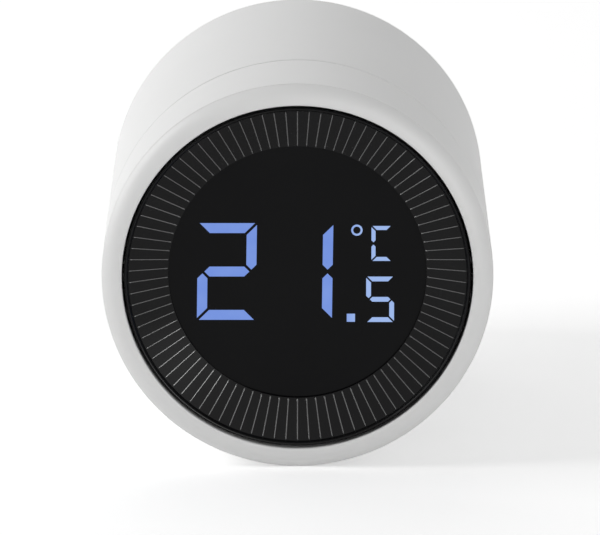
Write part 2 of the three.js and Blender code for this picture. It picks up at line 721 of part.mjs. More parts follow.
function rearPlate() {
  const plate = gearboxPlate(rearPlateFront, rearPlateRear, 0, true);
  const through = [rearPlateFront - 1, rearPlateRear + 1];
  const hubHole = rod(HUB_RADIUS + 0.25, ...through, [0, 0], MID_SIDES);
  return cut(plate, hubHole, rod(PIN_RADIUS + 0.1, ...through, SHAFT_2));
}

function gearMotor() {
  const front = motorRear - MOTOR_LENGTH;
  const can = turned(
    [
      [0, front - 1],
      [3, front - 1],
      [3, front],
      [MOTOR_RADIUS - 0.5, front],
      [MOTOR_RADIUS, front + 0.5],
      [MOTOR_RADIUS, motorRear - 0.5],
      [MOTOR_RADIUS - 0.5, motorRear],
      [0, motorRear],
    ],
    24,
  );
  const terminals = [-1, 1].map((side) =>
    block([side * 4.6 - 0.9, side * 4.6 + 0.9], [front - 1.6, front + 0.2], [-0.25, 0.25]),
  );
  const shaftBore = rod(1.3, motorRear - 2.5, motorRear + 1);
  const screwBores = [-1, 1].map((side) =>
    rod(0.9, motorRear - 3.5, motorRear + 1, [0, side * MOTOR_SCREW_REACH]),
  );
  return cut(joined(can, ...terminals), shaftBore, ...screwBores);
}

function motorPinion() {
  const outline = externalGear(DRIVE_MODULE, PINION_TEETH, halfTooth, 2);
  const teeth = drawnOut(outline, wheel1Front - 0.2, wheel1Rear + 0.2);
  return teeth.add(rod(1, motorRear - 2.2, wheel1Front, [0, 0], SCREW_SIDES));
}

function compoundGear1() {
  const wheel = drawnOut(externalGear(DRIVE_MODULE, WHEEL_TEETH, Math.PI, 1), wheel1Front, wheel1Rear);
  const pinion = drawnOut(
    externalGear(DRIVE_MODULE, PINION_TEETH, halfTooth, 2),
    wheel1Rear - 0.1,
    midPlateFront - FIT,
  );
  const hub = rod(2.2, frontPlateRear + FIT, wheel1Front + 0.1);
  return cut(joined(wheel, pinion, hub), rod(PIN_RADIUS + 0.15, frontPlateRear, midPlateFront));
}

function compoundGear2() {
  const toDrive = -Math.PI / 3;
  const wheel = drawnOut(externalGear(DRIVE_MODULE, WHEEL_TEETH, 0, 1), wheel2Front, wheel2Rear);
  const pinion = drawnOut(
    externalGear(DRIVE_MODULE, PINION_TEETH, toDrive + halfTooth, 2),
    wheel2Rear - 0.1,
    driveTeethRear - 0.2,
  );
  return cut(joined(wheel, pinion), rod(PIN_RADIUS + 0.15, wheel2Front - 1, driveTeethRear + 1));
}

function driveGear() {
  const teeth = drawnOut(
    externalGear(DRIVE_MODULE, WHEEL_TEETH, (2 * Math.PI) / 3, 1),
    driveTeethFront,
    driveTeethRear,
  );
  const hub = rod(HUB_RADIUS, driveTeethRear - 0.1, driveRear, [0, 0], MID_SIDES);
  return cut(joined(teeth, hub), rod(SPINDLE_BORE, driveTeethFront - 1, driveRear + 1, [0, 0], 24));
}

function thrustWasher() {
  return tube(WASHER_RADIUS, SPINDLE_BORE + 0.4, midPlateRear + RUN, driveTeethFront - RUN, 24);
}

function plunger() {
  const threadRear = driveRear + 0.3;
  const threadFront = threadRear - SPINDLE_THREAD;
  const padFront = threadRear + 6.4;
  const outline = [
    [0, threadFront],
    [SPINDLE_RADIUS - 0.5, threadFront],
  ];
  for (let y = threadFront + 0.4; y < threadRear - SPINDLE_PITCH; y += SPINDLE_PITCH) {
    outline.push([SPINDLE_RADIUS, y], [SPINDLE_RADIUS - 0.5, y + SPINDLE_PITCH / 2]);
  }
  outline.push([SPINDLE_RADIUS - 0.3, threadRear], [0, threadRear]);
  const half = SQUARE_SIZE / 2;
  const square = block([-half, half], [threadRear - 0.1, padFront + 0.1], [-half, half]);
  const pad = rod(PAD_RADIUS, padFront, padFront + 2, [0, 0], 24);
  return joined(turned(outline, 16), square, pad);
}

// ---- Rear cap and valve union ----
function rearCap() {
  const body = turned([
    [0, bossFront],
    [HUB_RADIUS + 0.3, bossFront],
    [HUB_RADIUS + 0.3, capFront],
    [SHELL_BORE - 0.2, capFront],
    [SHELL_BORE - 0.2, HEAD_LENGTH],
    [SPIGOT_RADIUS, HEAD_LENGTH],
    [SPIGOT_RADIUS, seatFace - COLLAR_HEIGHT - FIT],
    [NECK_RADIUS, seatFace - COLLAR_HEIGHT - FIT],
    [NECK_RADIUS, seatFace],
    [SPIGOT_BORE, seatFace],
    [SPIGOT_BORE, HEAD_LENGTH],
    [0, HEAD_LENGTH],
  ]);
  const bosses = POSTS.map((place) => rod(POST_RADIUS, rearPlateRear + FIT, capFront + 0.1, place));
  const bossHoles = POSTS.map((place) => rod(0.95, rearPlateRear, capFront - 1, place, SCREW_SIDES));
  const half = SQUARE_SIZE / 2 + 0.25;
  const guide = block([-half, half], [bossFront - 1, HEAD_LENGTH + 1], [-half, half]);
  const screwHoles = SLEEVE_BOSS_ANGLES.map((angle) =>
    rod(1.1, capFront - 1, HEAD_LENGTH + 1, polar(SLEEVE_BOSS_CIRCLE, angle), SCREW_SIDES),
  );
  const notches = [-1, 1].map((side) => {
    const ends = [
      -90 + side * (doorHalfAngle - DOOR_GAP_ANGLE - 5),
      -90 + side * (doorHalfAngle + DOOR_LAP + 1),
    ].sort((a, b) => a - b);
    const notch = ringSector(SHELL_BORE + 1, INSIDE_RADIUS + 0.3, ...ends);
    return drawnOut(notch, capFront - 1, HEAD_LENGTH + 1, 2);
  });
  return cut(joined(body, ...bosses), ...bossHoles, guide, ...screwHoles, ...notches);
}

function seatCollar() {
  return tube(COLLAR_RADIUS, COLLAR_BORE, seatFace - COLLAR_HEIGHT, seatFace, MID_SIDES);
}

const nutFront = HEAD_LENGTH + 0.5;
const NUT_BASE = NUT_RADIUS - 0.8;

// The ribbed outside of the nut: a trapezoid rib every turn / NUT_RIBS.
function ribbedOutline() {
  const points = [];
  for (let rib = 0; rib < NUT_RIBS; rib++) {
    const pitch = (2 * Math.PI) / NUT_RIBS;
    const ribCorners = [
      [NUT_BASE, -0.3],
      [NUT_RADIUS, -0.2],
      [NUT_RADIUS, 0.2],
      [NUT_BASE, 0.3],
    ];
    for (const [radius, share] of ribCorners) {
      const angle = (rib + share) * pitch;
      points.push(new THREE.Vector2(radius * Math.cos(angle), radius * Math.sin(angle)));
    }
  }
  return new THREE.Shape(points);
}

function unionNut() {
  const flangeRear = nutFront + NUT_FLANGE;
  const outside = joined(
    drawnOut(ribbedOutline(), nutFront + 1, MOUTH - 1.5),
    rod(NUT_BASE, nutFront, MOUTH, [0, 0], NUT_RIBS * 2),
  );
  const bore = [
    [0, nutFront - 1],
    [SPIGOT_RADIUS + 0.4, nutFront - 1],
    [SPIGOT_RADIUS + 0.4, flangeRear],
    [THREAD_MINOR_RADIUS, flangeRear],
  ];
  const firstGroove = seatFace + 0.6;
  for (let y = firstGroove; y < MOUTH - THREAD_PITCH; y += THREAD_PITCH) {
    bore.push([THREAD_MINOR_RADIUS, y], [THREAD_MINOR_RADIUS + 0.75, y + THREAD_PITCH / 2]);
  }
  bore.push([THREAD_MINOR_RADIUS, MOUTH + 1], [0, MOUTH + 1]);
  return cut(outside, turned(bore, MID_SIDES));
}

// ---- Motor leads ----
function leadSolid(side) {
  const front = motorRear - MOTOR_LENGTH;
  const [holeX, holeZ] = LEAD_HOLE;
  const path = new THREE.CatmullRomCurve3([
    new THREE.Vector3(SHAFT_2[0] + side * 4.6, front - 1.9, SHAFT_2[1]),
    new THREE.Vector3(SHAFT_2[0] + side * 4.2, front - 3.6, SHAFT_2[1]),
    new THREE.Vector3(holeX + side * 1.4, chassisRear + 2, holeZ + 1),
    new THREE.Vector3(holeX + side * 1.4, chassisFront - 1, holeZ),
    new THREE.Vector3(holeX + side * 1.4, chipFront, holeZ),
  ]);
  const section = new THREE.Shape().absarc(0, 0, 0.55, 0, 2 * Math.PI);
  const settings = { steps: 12, extrudePath: path, curveSegments: 4 };
  return solidFrom(new THREE.ExtrudeGeometry(section, settings));
}

// ---- Assembly ----
const thermostat = new THREE.Group();
const head = new THREE.Group();
head.position.y = -MOUTH;
thermostat.add(head);

const ringGroup = new THREE.Group();
head.add(ringGroup);
piece(ringGroup, "setting_ring", settingRing(), WHITE);

const faceGroup = new THREE.Group();
head.add(faceGroup);
piece(faceGroup, "face_bezel", faceBezel(), GLOSS_BLACK);
piece(faceGroup, "display_window", displayWindow(), GLOSS_BLACK);
for (const [name, side] of [
  ["left", -1],
  ["right", 1],
]) {
  piece(faceGroup, `switch_plunger_${name}`, switchPlunger(), GREY, [side * SWITCH_CIRCLE, 0, 0]);
}

const encoderGroup = new THREE.Group();
encoderGroup.position.z = ENCODER_Z;
head.add(encoderGroup);
const encoderOutline = externalGear(RING_MODULE, ENCODER_TEETH, Math.PI / 2, 2);
const encoderBore = rod(ENCODER_SHAFT_RADIUS + 0.15, encoderGearFront - 1, encoderGearRear + 1);
piece(
  encoderGroup,
  "encoder_gear",
  cut(drawnOut(encoderOutline, encoderGearFront, encoderGearRear), encoderBore),
  ACETAL,
);
piece(
  encoderGroup,
  "encoder_shaft",
  rod(ENCODER_SHAFT_RADIUS, encoderGearFront - 0.5, chassisRear + 2.6),
  STEEL,
);

const electronics = new THREE.Group();
head.add(electronics);
for (const [name, side] of [
  ["left", -1],
  ["right", 1],
]) {
  piece(electronics, `tact_switch_${name}`, tactSwitch(), BLACK, [side * SWITCH_CIRCLE, 0, 0]);
}
piece(electronics, "led_light_guide", ledLightGuide(), CLEAR);
piece(electronics, "led_housing", ledHousing(), BLACK);
piece(electronics, "main_pcb", mainPcb(), BOARD);
piece(electronics, "mcu_chip", block([-4, 4], [0, 1], [-4, 4]), BLACK, [-12.5, chipFront, 5]);
piece(electronics, "radio_module", block([-7, 7], [0, 2.2], [-5, 5]), NICKEL, [8.5, chipFront, 6.5]);
piece(electronics, "capacitor", rod(2.5, 0, 3.4), ALUMINIUM, [-9.5, chipFront, 12.6]);
const sensor = block([-1, 1], [0, 1.5], [-0.75, 0.75]);
piece(electronics, "temperature_sensor", sensor, BLACK, [13, chipFront, 16]);
piece(electronics, "encoder_body", encoderBody(), BLACK);

const structure = new THREE.Group();
head.add(structure);
piece(structure, "ring_retaining_clip", ringClip(), STEEL);
piece(structure, "chassis", chassis(), BLACK);
piece(structure, "battery_tray", batteryTray(), BLACK);
piece(structure, "rear_cap", rearCap(), WHITE);
piece(structure, "body_sleeve", bodySleeve(), WHITE);

const power = new THREE.Group();
head.add(power);
piece(power, "battery_left", cellSolid(), ALUMINIUM, [-CELL_X, cellFront, CELL_Z]);
const rightCell = piece(power, "battery_right", cellSolid(), ALUMINIUM, [
  CELL_X,
  rearContactFront - FIT,
  CELL_Z,
]);
rightCell.rotation.x = Math.PI;
piece(power, "contact_plate_left", frontContact(), NICKEL, [-CELL_X, contactFront, CELL_Z]);
piece(power, "contact_plate_right", frontContact(), NICKEL, [CELL_X, contactFront, CELL_Z]);
piece(power, "rear_contact_plate", rearContact(), NICKEL);
piece(power, "contact_spring_right", contactSpring(springRoom), STEEL, [CELL_X, cellFront, CELL_Z]);
const leftSpring = piece(power, "contact_spring_left", contactSpring(springRoom), STEEL, [
  -CELL_X,
  rearContactFront - FIT,
  CELL_Z,
]);
leftSpring.rotation.x = Math.PI;

const doorGroup = new THREE.Group();
head.add(doorGroup);
piece(doorGroup, "battery_door", batteryDoor(), WHITE);

const gearbox = new THREE.Group();
head.add(gearbox);
piece(gearbox, "gearbox_front_plate", frontPlate(), GREY);
piece(gearbox, "gearbox_mid_plate", midPlate(), GREY);
piece(gearbox, "gearbox_rear_plate", rearPlate(), GREY);
piece(gearbox, "gear_motor", gearMotor(), STEEL, [SHAFT_2[0], 0, SHAFT_2[1]]);
piece(gearbox, "motor_pinion", motorPinion(), BRASS, [SHAFT_2[0], 0, SHAFT_2[1]]);
piece(gearbox, "compound_gear_1", compoundGear1(), ACETAL, [SHAFT_1[0], 0, SHAFT_1[1]]);
piece(gearbox, "compound_gear_2", compoundGear2(), ACETAL, [SHAFT_2[0], 0, SHAFT_2[1]]);
piece(gearbox, "gear_pin_1", rod(PIN_RADIUS, frontPlateFront + 0.3, midPlateRear - 0.2), STEEL, [
  SHAFT_1[0],
  0,
  SHAFT_1[1],
]);
piece(gearbox, "gear_pin_2", rod(PIN_RADIUS, wheel2Front - 0.5, rearPlateRear - 0.2), STEEL, [
  SHAFT_2[0],
  0,
  SHAFT_2[1],
]);
piece(gearbox, "drive_gear", driveGear(), ACETAL);
piece(gearbox, "thrust_washer", thrustWasher(), STEEL);
piece(gearbox, "plunger", plunger(), GREY);

const union = new THREE.Group();
head.add(union);
piece(union, "seat_collar", seatCollar(), BRASS);
piece(union, "union_nut", unionNut(), WHITE);

const fasteners = new THREE.Group();
head.add(fasteners);
PCB_SCREW_ANGLES.forEach((angle, i) => {
  const [x, z] = polar(PCB_SCREW_CIRCLE, angle);
  piece(fasteners, `pcb_screw_${i + 1}`, screwSolid(0.7, 4.6, 1.6, 0.9), STEEL, [x, pcbFront - 0.2, z]);
});
["left", "right"].forEach((name, i) => {
  const x = (2 * i - 1) * TRAY_SCREW[0];
  const screw = screwSolid(0.9, 4.6, 1.8, 1.1);
  const mesh = piece(fasteners, `tray_screw_${name}`, screw, STEEL, [x, chassisRear + 2, TRAY_SCREW[1]]);
  mesh.rotation.x = Math.PI;
});
POSTS.forEach(([x, z], i) => {
  const length = capFront - 2 - frontPlateFront;
  const screw = screwSolid(0.8, length, 1.9, 1.1);
  piece(fasteners, `gearbox_screw_${i + 1}`, screw, STEEL, [x, frontPlateFront - 0.2, z]);
});
MOTOR_SCREWS.forEach(([x, z], i) => {
  const screw = screwSolid(0.7, 4, 1.4, 0.9);
  const mesh = piece(fasteners, `motor_screw_${i + 1}`, screw, STEEL, [x, frontPlateRear + 0.2, z]);
  mesh.rotation.x = Math.PI;
});
SLEEVE_BOSS_ANGLES.forEach((angle, i) => {
  const [x, z] = polar(SLEEVE_BOSS_CIRCLE, angle);
  const screw = screwSolid(0.75, 5.5, 1.9, 1);
  const mesh = piece(fasteners, `cap_screw_${i + 1}`, screw, STEEL, [x, HEAD_LENGTH + 0.2, z]);
  mesh.rotation.x = Math.PI;
});

const leads = new THREE.Group();
head.add(leads);
piece(leads, "motor_lead_red", leadSolid(-1), RED);
piece(leads, "motor_lead_black", leadSolid(1), BLACK);

export default thermostat;
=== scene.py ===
"""A motor-driven radiator thermostat head: white cylinder, turning ring, black face with lit digits."""
import math

import bmesh
import bpy
from mathutils import Matrix, Vector


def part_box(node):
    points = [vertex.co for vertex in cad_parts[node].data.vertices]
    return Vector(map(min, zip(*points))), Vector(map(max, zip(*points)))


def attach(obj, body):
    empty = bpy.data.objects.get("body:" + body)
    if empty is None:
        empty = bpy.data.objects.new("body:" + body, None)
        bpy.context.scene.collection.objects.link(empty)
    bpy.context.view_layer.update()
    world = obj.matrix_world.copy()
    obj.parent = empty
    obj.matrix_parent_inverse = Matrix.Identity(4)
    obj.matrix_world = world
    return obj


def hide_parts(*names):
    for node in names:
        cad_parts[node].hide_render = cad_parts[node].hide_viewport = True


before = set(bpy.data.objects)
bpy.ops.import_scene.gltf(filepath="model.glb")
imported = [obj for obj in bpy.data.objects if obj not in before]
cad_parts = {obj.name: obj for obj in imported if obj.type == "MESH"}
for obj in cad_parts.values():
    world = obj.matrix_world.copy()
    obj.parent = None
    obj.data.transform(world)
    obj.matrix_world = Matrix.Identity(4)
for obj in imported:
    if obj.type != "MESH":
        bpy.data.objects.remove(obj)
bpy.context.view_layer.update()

# ---- Sizes, in millimetres; s is the distance behind the front rim of the setting ring ----
MM = 0.001
RIM_CROWN = 0.8
FRONT_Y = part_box("setting_ring")[0].y / MM + RIM_CROWN


def span(node):
    """A CAD node's reach: its largest radius in x, and where it starts and ends behind the front rim."""
    low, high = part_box(node)
    return high.x / MM, low.y / MM - FRONT_Y, high.y / MM - FRONT_Y


HEAD_RADIUS, _, RING_REAR = span("setting_ring")
_, SLEEVE_FRONT, HEAD_REAR = span("body_sleeve")
FACE_RADIUS, _, _ = span("face_bezel")
WINDOW_RADIUS, WINDOW_FRONT, WINDOW_REAR = span("display_window")
_, DOOR_FRONT, _ = span("battery_door")
NUT_RADIUS, NUT_FRONT, MOUTH = span("union_nut")
COLLAR_RADIUS, COLLAR_FRONT, SEAT = span("seat_collar")
CAP_RADIUS, CAP_BOSS_FRONT, _ = span("rear_cap")

WALL = 1.8
SHELL_BORE = HEAD_RADIUS - WALL
RING_LAND = SHELL_BORE - 0.5
RIM_BORE = FACE_RADIUS + 0.3
BEZEL_REAR = WINDOW_REAR + 0.1
WINDOW_RECESS = WINDOW_RADIUS + 0.3
DISPLAY_RADIUS = WINDOW_RECESS - 0.6
FUNNEL_DEPTH = WINDOW_FRONT - 0.5
OPENING_FRONT = DOOR_FRONT - 0.4
FULL_TURN = 2 * math.pi
SIDES = 240
SMOOTH_BELOW = math.radians(32)
NEAR_AXIS = 0.001


# ---- Meshes ----
def point(radius, s, angle):
    """A place in metres at an angle from +X towards +Z about the head's axis."""
    return (radius * math.cos(angle) * MM, (FRONT_Y + s) * MM, radius * math.sin(angle) * MM)


def make(name, verts, faces):
    """A mesh object from vertices in metres and faces."""
    mesh = bpy.data.meshes.new(name)
    mesh.from_pydata(verts, [], faces)
    obj = bpy.data.objects.new(name, mesh)
    bpy.context.scene.collection.objects.link(obj)
    tidy(obj)
    return obj


def tidy(obj):
    """Faces out, no doubled points, and smooth except at real edges."""
    work = bmesh.new()
    work.from_mesh(obj.data)
    bmesh.ops.remove_doubles(work, verts=work.verts, dist=1e-7)
    bmesh.ops.recalc_face_normals(work, faces=work.faces)
    work.to_mesh(obj.data)
    work.free()
    obj.data.shade_smooth()
    obj.data.set_sharp_from_angle(angle=SMOOTH_BELOW)


def arc_corner(before, corner, after, radius, steps):
    """Points of a round corner between two straight edges."""
    to_before = (before - corner).normalized()
    to_after = (after - corner).normalized()
    half = to_before.angle(to_after) / 2
    if radius <= 0 or half > math.radians(88):
        return [corner]
    reach = min(radius / math.tan(half), 0.49 * (before - corner).length, 0.49 * (after - corner).length)
    start = corner + to_before * reach
    end = corner + to_after * reach
    points = []
    for i in range(steps + 1):
        t = i / steps
        points.append(start * (1 - t) ** 2 + corner * (2 * t * (1 - t)) + end * t ** 2)
    return points


def rounded(outline, steps=4):
    """A closed outline of (radius, s, corner radius) with its corners rounded."""
    flat = [Vector((r, s)) for r, s, _ in outline]
    result = []
    for i, (_, _, corner_radius) in enumerate(outline):
        before, after = flat[i - 1], flat[(i + 1) % len(flat)]
        result += arc_corner(before, flat[i], after, corner_radius, steps)
    return held([(p.x, p.y) for p in result])


def held(outline, gap=0.08):
    """Adds a point near each end of a long straight side, so that smooth shading stays flat along it."""
    result = []
    for i, (r, s) in enumerate(outline):
        next_r, next_s = outline[(i + 1) % len(outline)]
        length = math.hypot(next_r - r, next_s - s)
        result.append((r, s))
        if length > 5 * gap:
            for share in (gap / length, 1 - gap / length):
                result.append((r + (next_r - r) * share, s + (next_s - s) * share))
    return result


def turned(name, outline, angles=None, start=0.0, sweep=FULL_TURN, shape=None):
    """Turns a closed outline of (radius, s) about the axis; shape(r, s, angle) may move a point."""
    whole = sweep >= FULL_TURN - 1e-9
    if angles is None:
        count = max(3, round(SIDES * sweep / FULL_TURN))
        angles = [start + sweep * i / count for i in range(count if whole else count + 1)]
    verts = []
    for angle in angles:
        for r, s in outline:
            if shape:
                r, s = shape(r, s, angle)
            verts.append(point(r, s, angle))
    n, turns = len(outline), len(angles)
    faces = []
    for i in range(turns if whole else turns - 1):
        a, b = i * n, ((i + 1) % turns) * n
        for k in range(n):
            m = (k + 1) % n
            faces.append((a + k, a + m, b + m, b + k))
    if not whole:
        faces.append(tuple(range(n)))
        faces.append(tuple((turns - 1) * n + k for k in reversed(range(n))))
    return make(name, verts, faces)


def cylinder(name, radius, start, end, place=(0, 0), sides=48):
    """A rod along the axis at (x, z)."""
    x, z = place
    verts = []
    for s in (start, end):
        for i in range(sides):
            angle = FULL_TURN * i / sides
            across, up = x + radius * math.cos(angle), z + radius * math.sin(angle)
            verts.append((across * MM, (FRONT_Y + s) * MM, up * MM))
    faces = [(i, (i + 1) % sides, sides + (i + 1) % sides, sides + i) for i in range(sides)]
    faces += [tuple(range(sides)), tuple(sides + i for i in reversed(range(sides)))]
    return make(name, verts, faces)


def slab(name, corners, start, end):
    """A flat outline of (x, z) corners between two depths."""
    n = len(corners)
    verts = [(x * MM, (FRONT_Y + s) * MM, z * MM) for s in (start, end) for x, z in corners]
    faces = [(i, (i + 1) % n, n + (i + 1) % n, n + i) for i in range(n)]
    faces += [tuple(range(n)), tuple(n + i for i in reversed(range(n)))]
    return make(name, verts, faces)


def join(name, pieces):
    """Several meshes as one object."""
    whole = bmesh.new()
    for piece in pieces:
        whole.from_mesh(piece.data)
        bpy.data.objects.remove(piece)
    mesh = bpy.data.meshes.new(name)
    whole.to_mesh(mesh)
    whole.free()
    obj = bpy.data.objects.new(name, mesh)
    bpy.context.scene.collection.objects.link(obj)
    mesh.shade_smooth()
    mesh.set_sharp_from_angle(angle=SMOOTH_BELOW)
    return obj


def bake_modifiers(obj):
    """The object's mesh with its modifiers applied."""
    graph = bpy.context.evaluated_depsgraph_get()
    mesh = bpy.data.meshes.new_from_object(obj.evaluated_get(graph))
    obj.modifiers.clear()
    obj.data = mesh


def carve(obj, cutters, edge=0.0):
    """Cuts the cutters out of an object, then breaks the cut edges by a small bevel."""
    for cutter in cutters:
        cut = obj.modifiers.new("cut", "BOOLEAN")
        cut.object = cutter
        cut.operation = "DIFFERENCE"
        cut.solver = "EXACT"
    bake_modifiers(obj)
    for cutter in cutters:
        bpy.data.objects.remove(cutter)
    tidy(obj)
    if edge:
        bevel = obj.modifiers.new("edge", "BEVEL")
        bevel.width = edge * MM
        bevel.segments = 2
        bevel.limit_method = "ANGLE"
        bevel.angle_limit = math.radians(50)
        bake_modifiers(obj)
        obj.data.shade_smooth()
        obj.data.set_sharp_from_angle(angle=math.radians(40))
    return obj


def polar(radius, degrees):
    """(x, z) at an angle about the head's axis."""
    angle = math.radians(degrees)
    return radius * math.cos(angle), radius * math.sin(angle)


# ---- Materials ----
def new_material(name):
    """A material with its nodes, links and Principled shader."""
    material = bpy.data.materials.new(name)
    material.use_nodes = True
    nodes = material.node_tree.nodes
    return material, nodes, material.node_tree.links, nodes["Principled BSDF"]


def noise(nodes, links, scale, detail=3, roughness=0.5):
    """A noise texture on the object's own coordinates, in metres."""
    place = nodes.new("ShaderNodeTexCoord")
    texture = nodes.new("ShaderNodeTexNoise")
    texture.inputs["Scale"].default_value = scale
    texture.inputs["Detail"].default_value = detail
    texture.inputs["Roughness"].default_value = roughness
    links.new(place.outputs["Object"], texture.inputs["Vector"])
    return texture


def spread(nodes, links, value, low, high, start=0.3, end=0.7):
    """Maps a 0 to 1 value onto a range."""
    ranger = nodes.new("ShaderNodeMapRange")
    ranger.inputs["From Min"].default_value = start
    ranger.inputs["From Max"].default_value = end
    ranger.inputs["To Min"].default_value = low
    ranger.inputs["To Max"].default_value = high
    links.new(value, ranger.inputs["Value"])
    return ranger.outputs["Result"]


def tint(nodes, links, value, dark, light):
    """A colour that runs from dark to light with a 0 to 1 value."""
    ramp = nodes.new("ShaderNodeValToRGB")
    ramp.color_ramp.elements[0].position = 0.3
    ramp.color_ramp.elements[0].color = (*dark, 1)
    ramp.color_ramp.elements[1].position = 0.7
    ramp.color_ramp.elements[1].color = (*light, 1)
    links.new(value, ramp.inputs["Fac"])
    return ramp.outputs["Color"]


def surface(name, dark, light, rough, metallic=0.0, cloud=60, grain=4000, bump=0.04, specular=0.5, coat=0.0):
    """A moulded or machined surface: slow colour change, roughness change, and a fine grain in the bump."""
    material, nodes, links, shader = new_material(name)
    clouds = noise(nodes, links, cloud, 4)
    grains = noise(nodes, links, grain, 2)
    links.new(tint(nodes, links, clouds.outputs["Fac"], dark, light), shader.inputs["Base Color"])
    links.new(spread(nodes, links, clouds.outputs["Fac"], *rough), shader.inputs["Roughness"])
    relief = nodes.new("ShaderNodeBump")
    relief.inputs["Strength"].default_value = bump
    relief.inputs["Distance"].default_value = 0.05 * MM
    links.new(grains.outputs["Fac"], relief.inputs["Height"])
    links.new(relief.outputs["Normal"], shader.inputs["Normal"])
    shader.inputs["Metallic"].default_value = metallic
    shader.inputs["Specular IOR Level"].default_value = specular
    shader.inputs["Coat Weight"].default_value = coat
    return material


def lit_material(name, dim, bright):
    """The light of the display: deeper blue in the big digits, paler in the small ones at the right."""
    material, nodes, links, shader = new_material(name)
    place = nodes.new("ShaderNodeTexCoord")
    split = nodes.new("ShaderNodeSeparateXYZ")
    links.new(place.outputs["Object"], split.inputs["Vector"])
    across = spread(nodes, links, split.outputs["X"], 0.25, 0.6, 6 * MM, 9 * MM)
    clouds = noise(nodes, links, 260, 2)
    blend = nodes.new("ShaderNodeMath")
    blend.operation = "MULTIPLY_ADD"
    blend.inputs[1].default_value = 0.22
    links.new(clouds.outputs["Fac"], blend.inputs[0])
    links.new(across, blend.inputs[2])
    colour = tint(nodes, links, blend.outputs["Value"], dim, bright)
    links.new(colour, shader.inputs["Emission Color"])
    shader.inputs["Emission Strength"].default_value = 1.0
    shader.inputs["Base Color"].default_value = (0.01, 0.01, 0.02, 1)
    shader.inputs["Roughness"].default_value = 0.3
    shader.inputs["Specular IOR Level"].default_value = 0.1
    return material


WHITE = surface(
    "white_plastic", (0.80, 0.80, 0.795), (0.83, 0.83, 0.825), (0.36, 0.44), cloud=40, grain=5200, bump=0.05
)
GLOSS_BLACK = surface(
    "gloss_black", (0.004, 0.004, 0.0043), (0.006, 0.006, 0.0064), (0.2, 0.28),
    cloud=120, bump=0.02, specular=0.14,
)
RIB_BLACK = surface(
    "rib_black", (0.012, 0.012, 0.0125), (0.018, 0.018, 0.0185), (0.2, 0.26),
    cloud=120, bump=0, specular=1.0, coat=0.5,
)
WINDOW_BLACK = surface(
    "window_black", (0.0025, 0.0025, 0.003), (0.0035, 0.0035, 0.004), (0.08, 0.12),
    cloud=80, bump=0, specular=0.09,
)
ALUMINIUM = surface(
    "aluminium", (0.6, 0.61, 0.62), (0.68, 0.69, 0.7), (0.26, 0.36), metallic=1.0, cloud=200, bump=0.04
)
LIT = lit_material("lit_segments", (0.148, 0.258, 0.70), (0.33, 0.47, 0.81))
BLACK = surface("black_plastic", (0.02, 0.02, 0.021), (0.032, 0.032, 0.034), (0.42, 0.58), bump=0.12)
GREY = surface("grey_plastic", (0.28, 0.29, 0.3), (0.34, 0.35, 0.36), (0.4, 0.52), bump=0.1)
ACETAL = surface("acetal", (0.72, 0.70, 0.62), (0.80, 0.78, 0.70), (0.38, 0.48), bump=0.05)
STEEL = surface(
    "zinc_steel", (0.46, 0.47, 0.48), (0.6, 0.61, 0.62), (0.24, 0.38), metallic=1.0, cloud=300, bump=0.06
)
NICKEL = surface(
    "nickel_plate", (0.62, 0.60, 0.56), (0.7, 0.68, 0.64), (0.18, 0.3), metallic=1.0, cloud=200, bump=0.04
)
BRASS = surface(
    "turned_brass", (0.6, 0.44, 0.18), (0.74, 0.56, 0.26), (0.2, 0.34), metallic=1.0, cloud=250, bump=0.06
)
CLEAR = surface("diffuser", (0.72, 0.76, 0.86), (0.8, 0.84, 0.92), (0.3, 0.4), bump=0.04)
RED = surface("red_insulation", (0.42, 0.02, 0.02), (0.52, 0.035, 0.03), (0.36, 0.46), bump=0.05)
DARK_LEAD = surface("black_insulation", (0.012, 0.012, 0.013), (0.02, 0.02, 0.021), (0.36, 0.46), bump=0.05)


def board_material():
    """Green solder mask over copper tracks and gold pads."""
    material, nodes, links, shader = new_material("circuit_board")
    place = nodes.new("ShaderNodeTexCoord")
    tracks = nodes.new("ShaderNodeTexBrick")
    tracks.inputs["Scale"].default_value = 260
    tracks.inputs["Mortar Size"].default_value = 0.035
    tracks.inputs["Color1"].default_value = (0.012, 0.10, 0.035, 1)
    tracks.inputs["Color2"].default_value = (0.014, 0.12, 0.042, 1)
    tracks.inputs["Mortar"].default_value = (0.03, 0.22, 0.08, 1)
    flatten = nodes.new("ShaderNodeVectorMath")
    flatten.operation = "MULTIPLY"
    flatten.inputs[1].default_value = (1, 0, 1)
    turn = nodes.new("ShaderNodeMapping")
    turn.inputs["Rotation"].default_value = (math.pi / 2, 0, 0)
    links.new(place.outputs["Object"], flatten.inputs[0])
    links.new(flatten.outputs["Vector"], turn.inputs["Vector"])
    links.new(turn.outputs["Vector"], tracks.inputs["Vector"])
    links.new(tracks.outputs["Color"], shader.inputs["Base Color"])
    clouds = noise(nodes, links, 300, 3)
    links.new(spread(nodes, links, clouds.outputs["Fac"], 0.25, 0.4), shader.inputs["Roughness"])
    return material


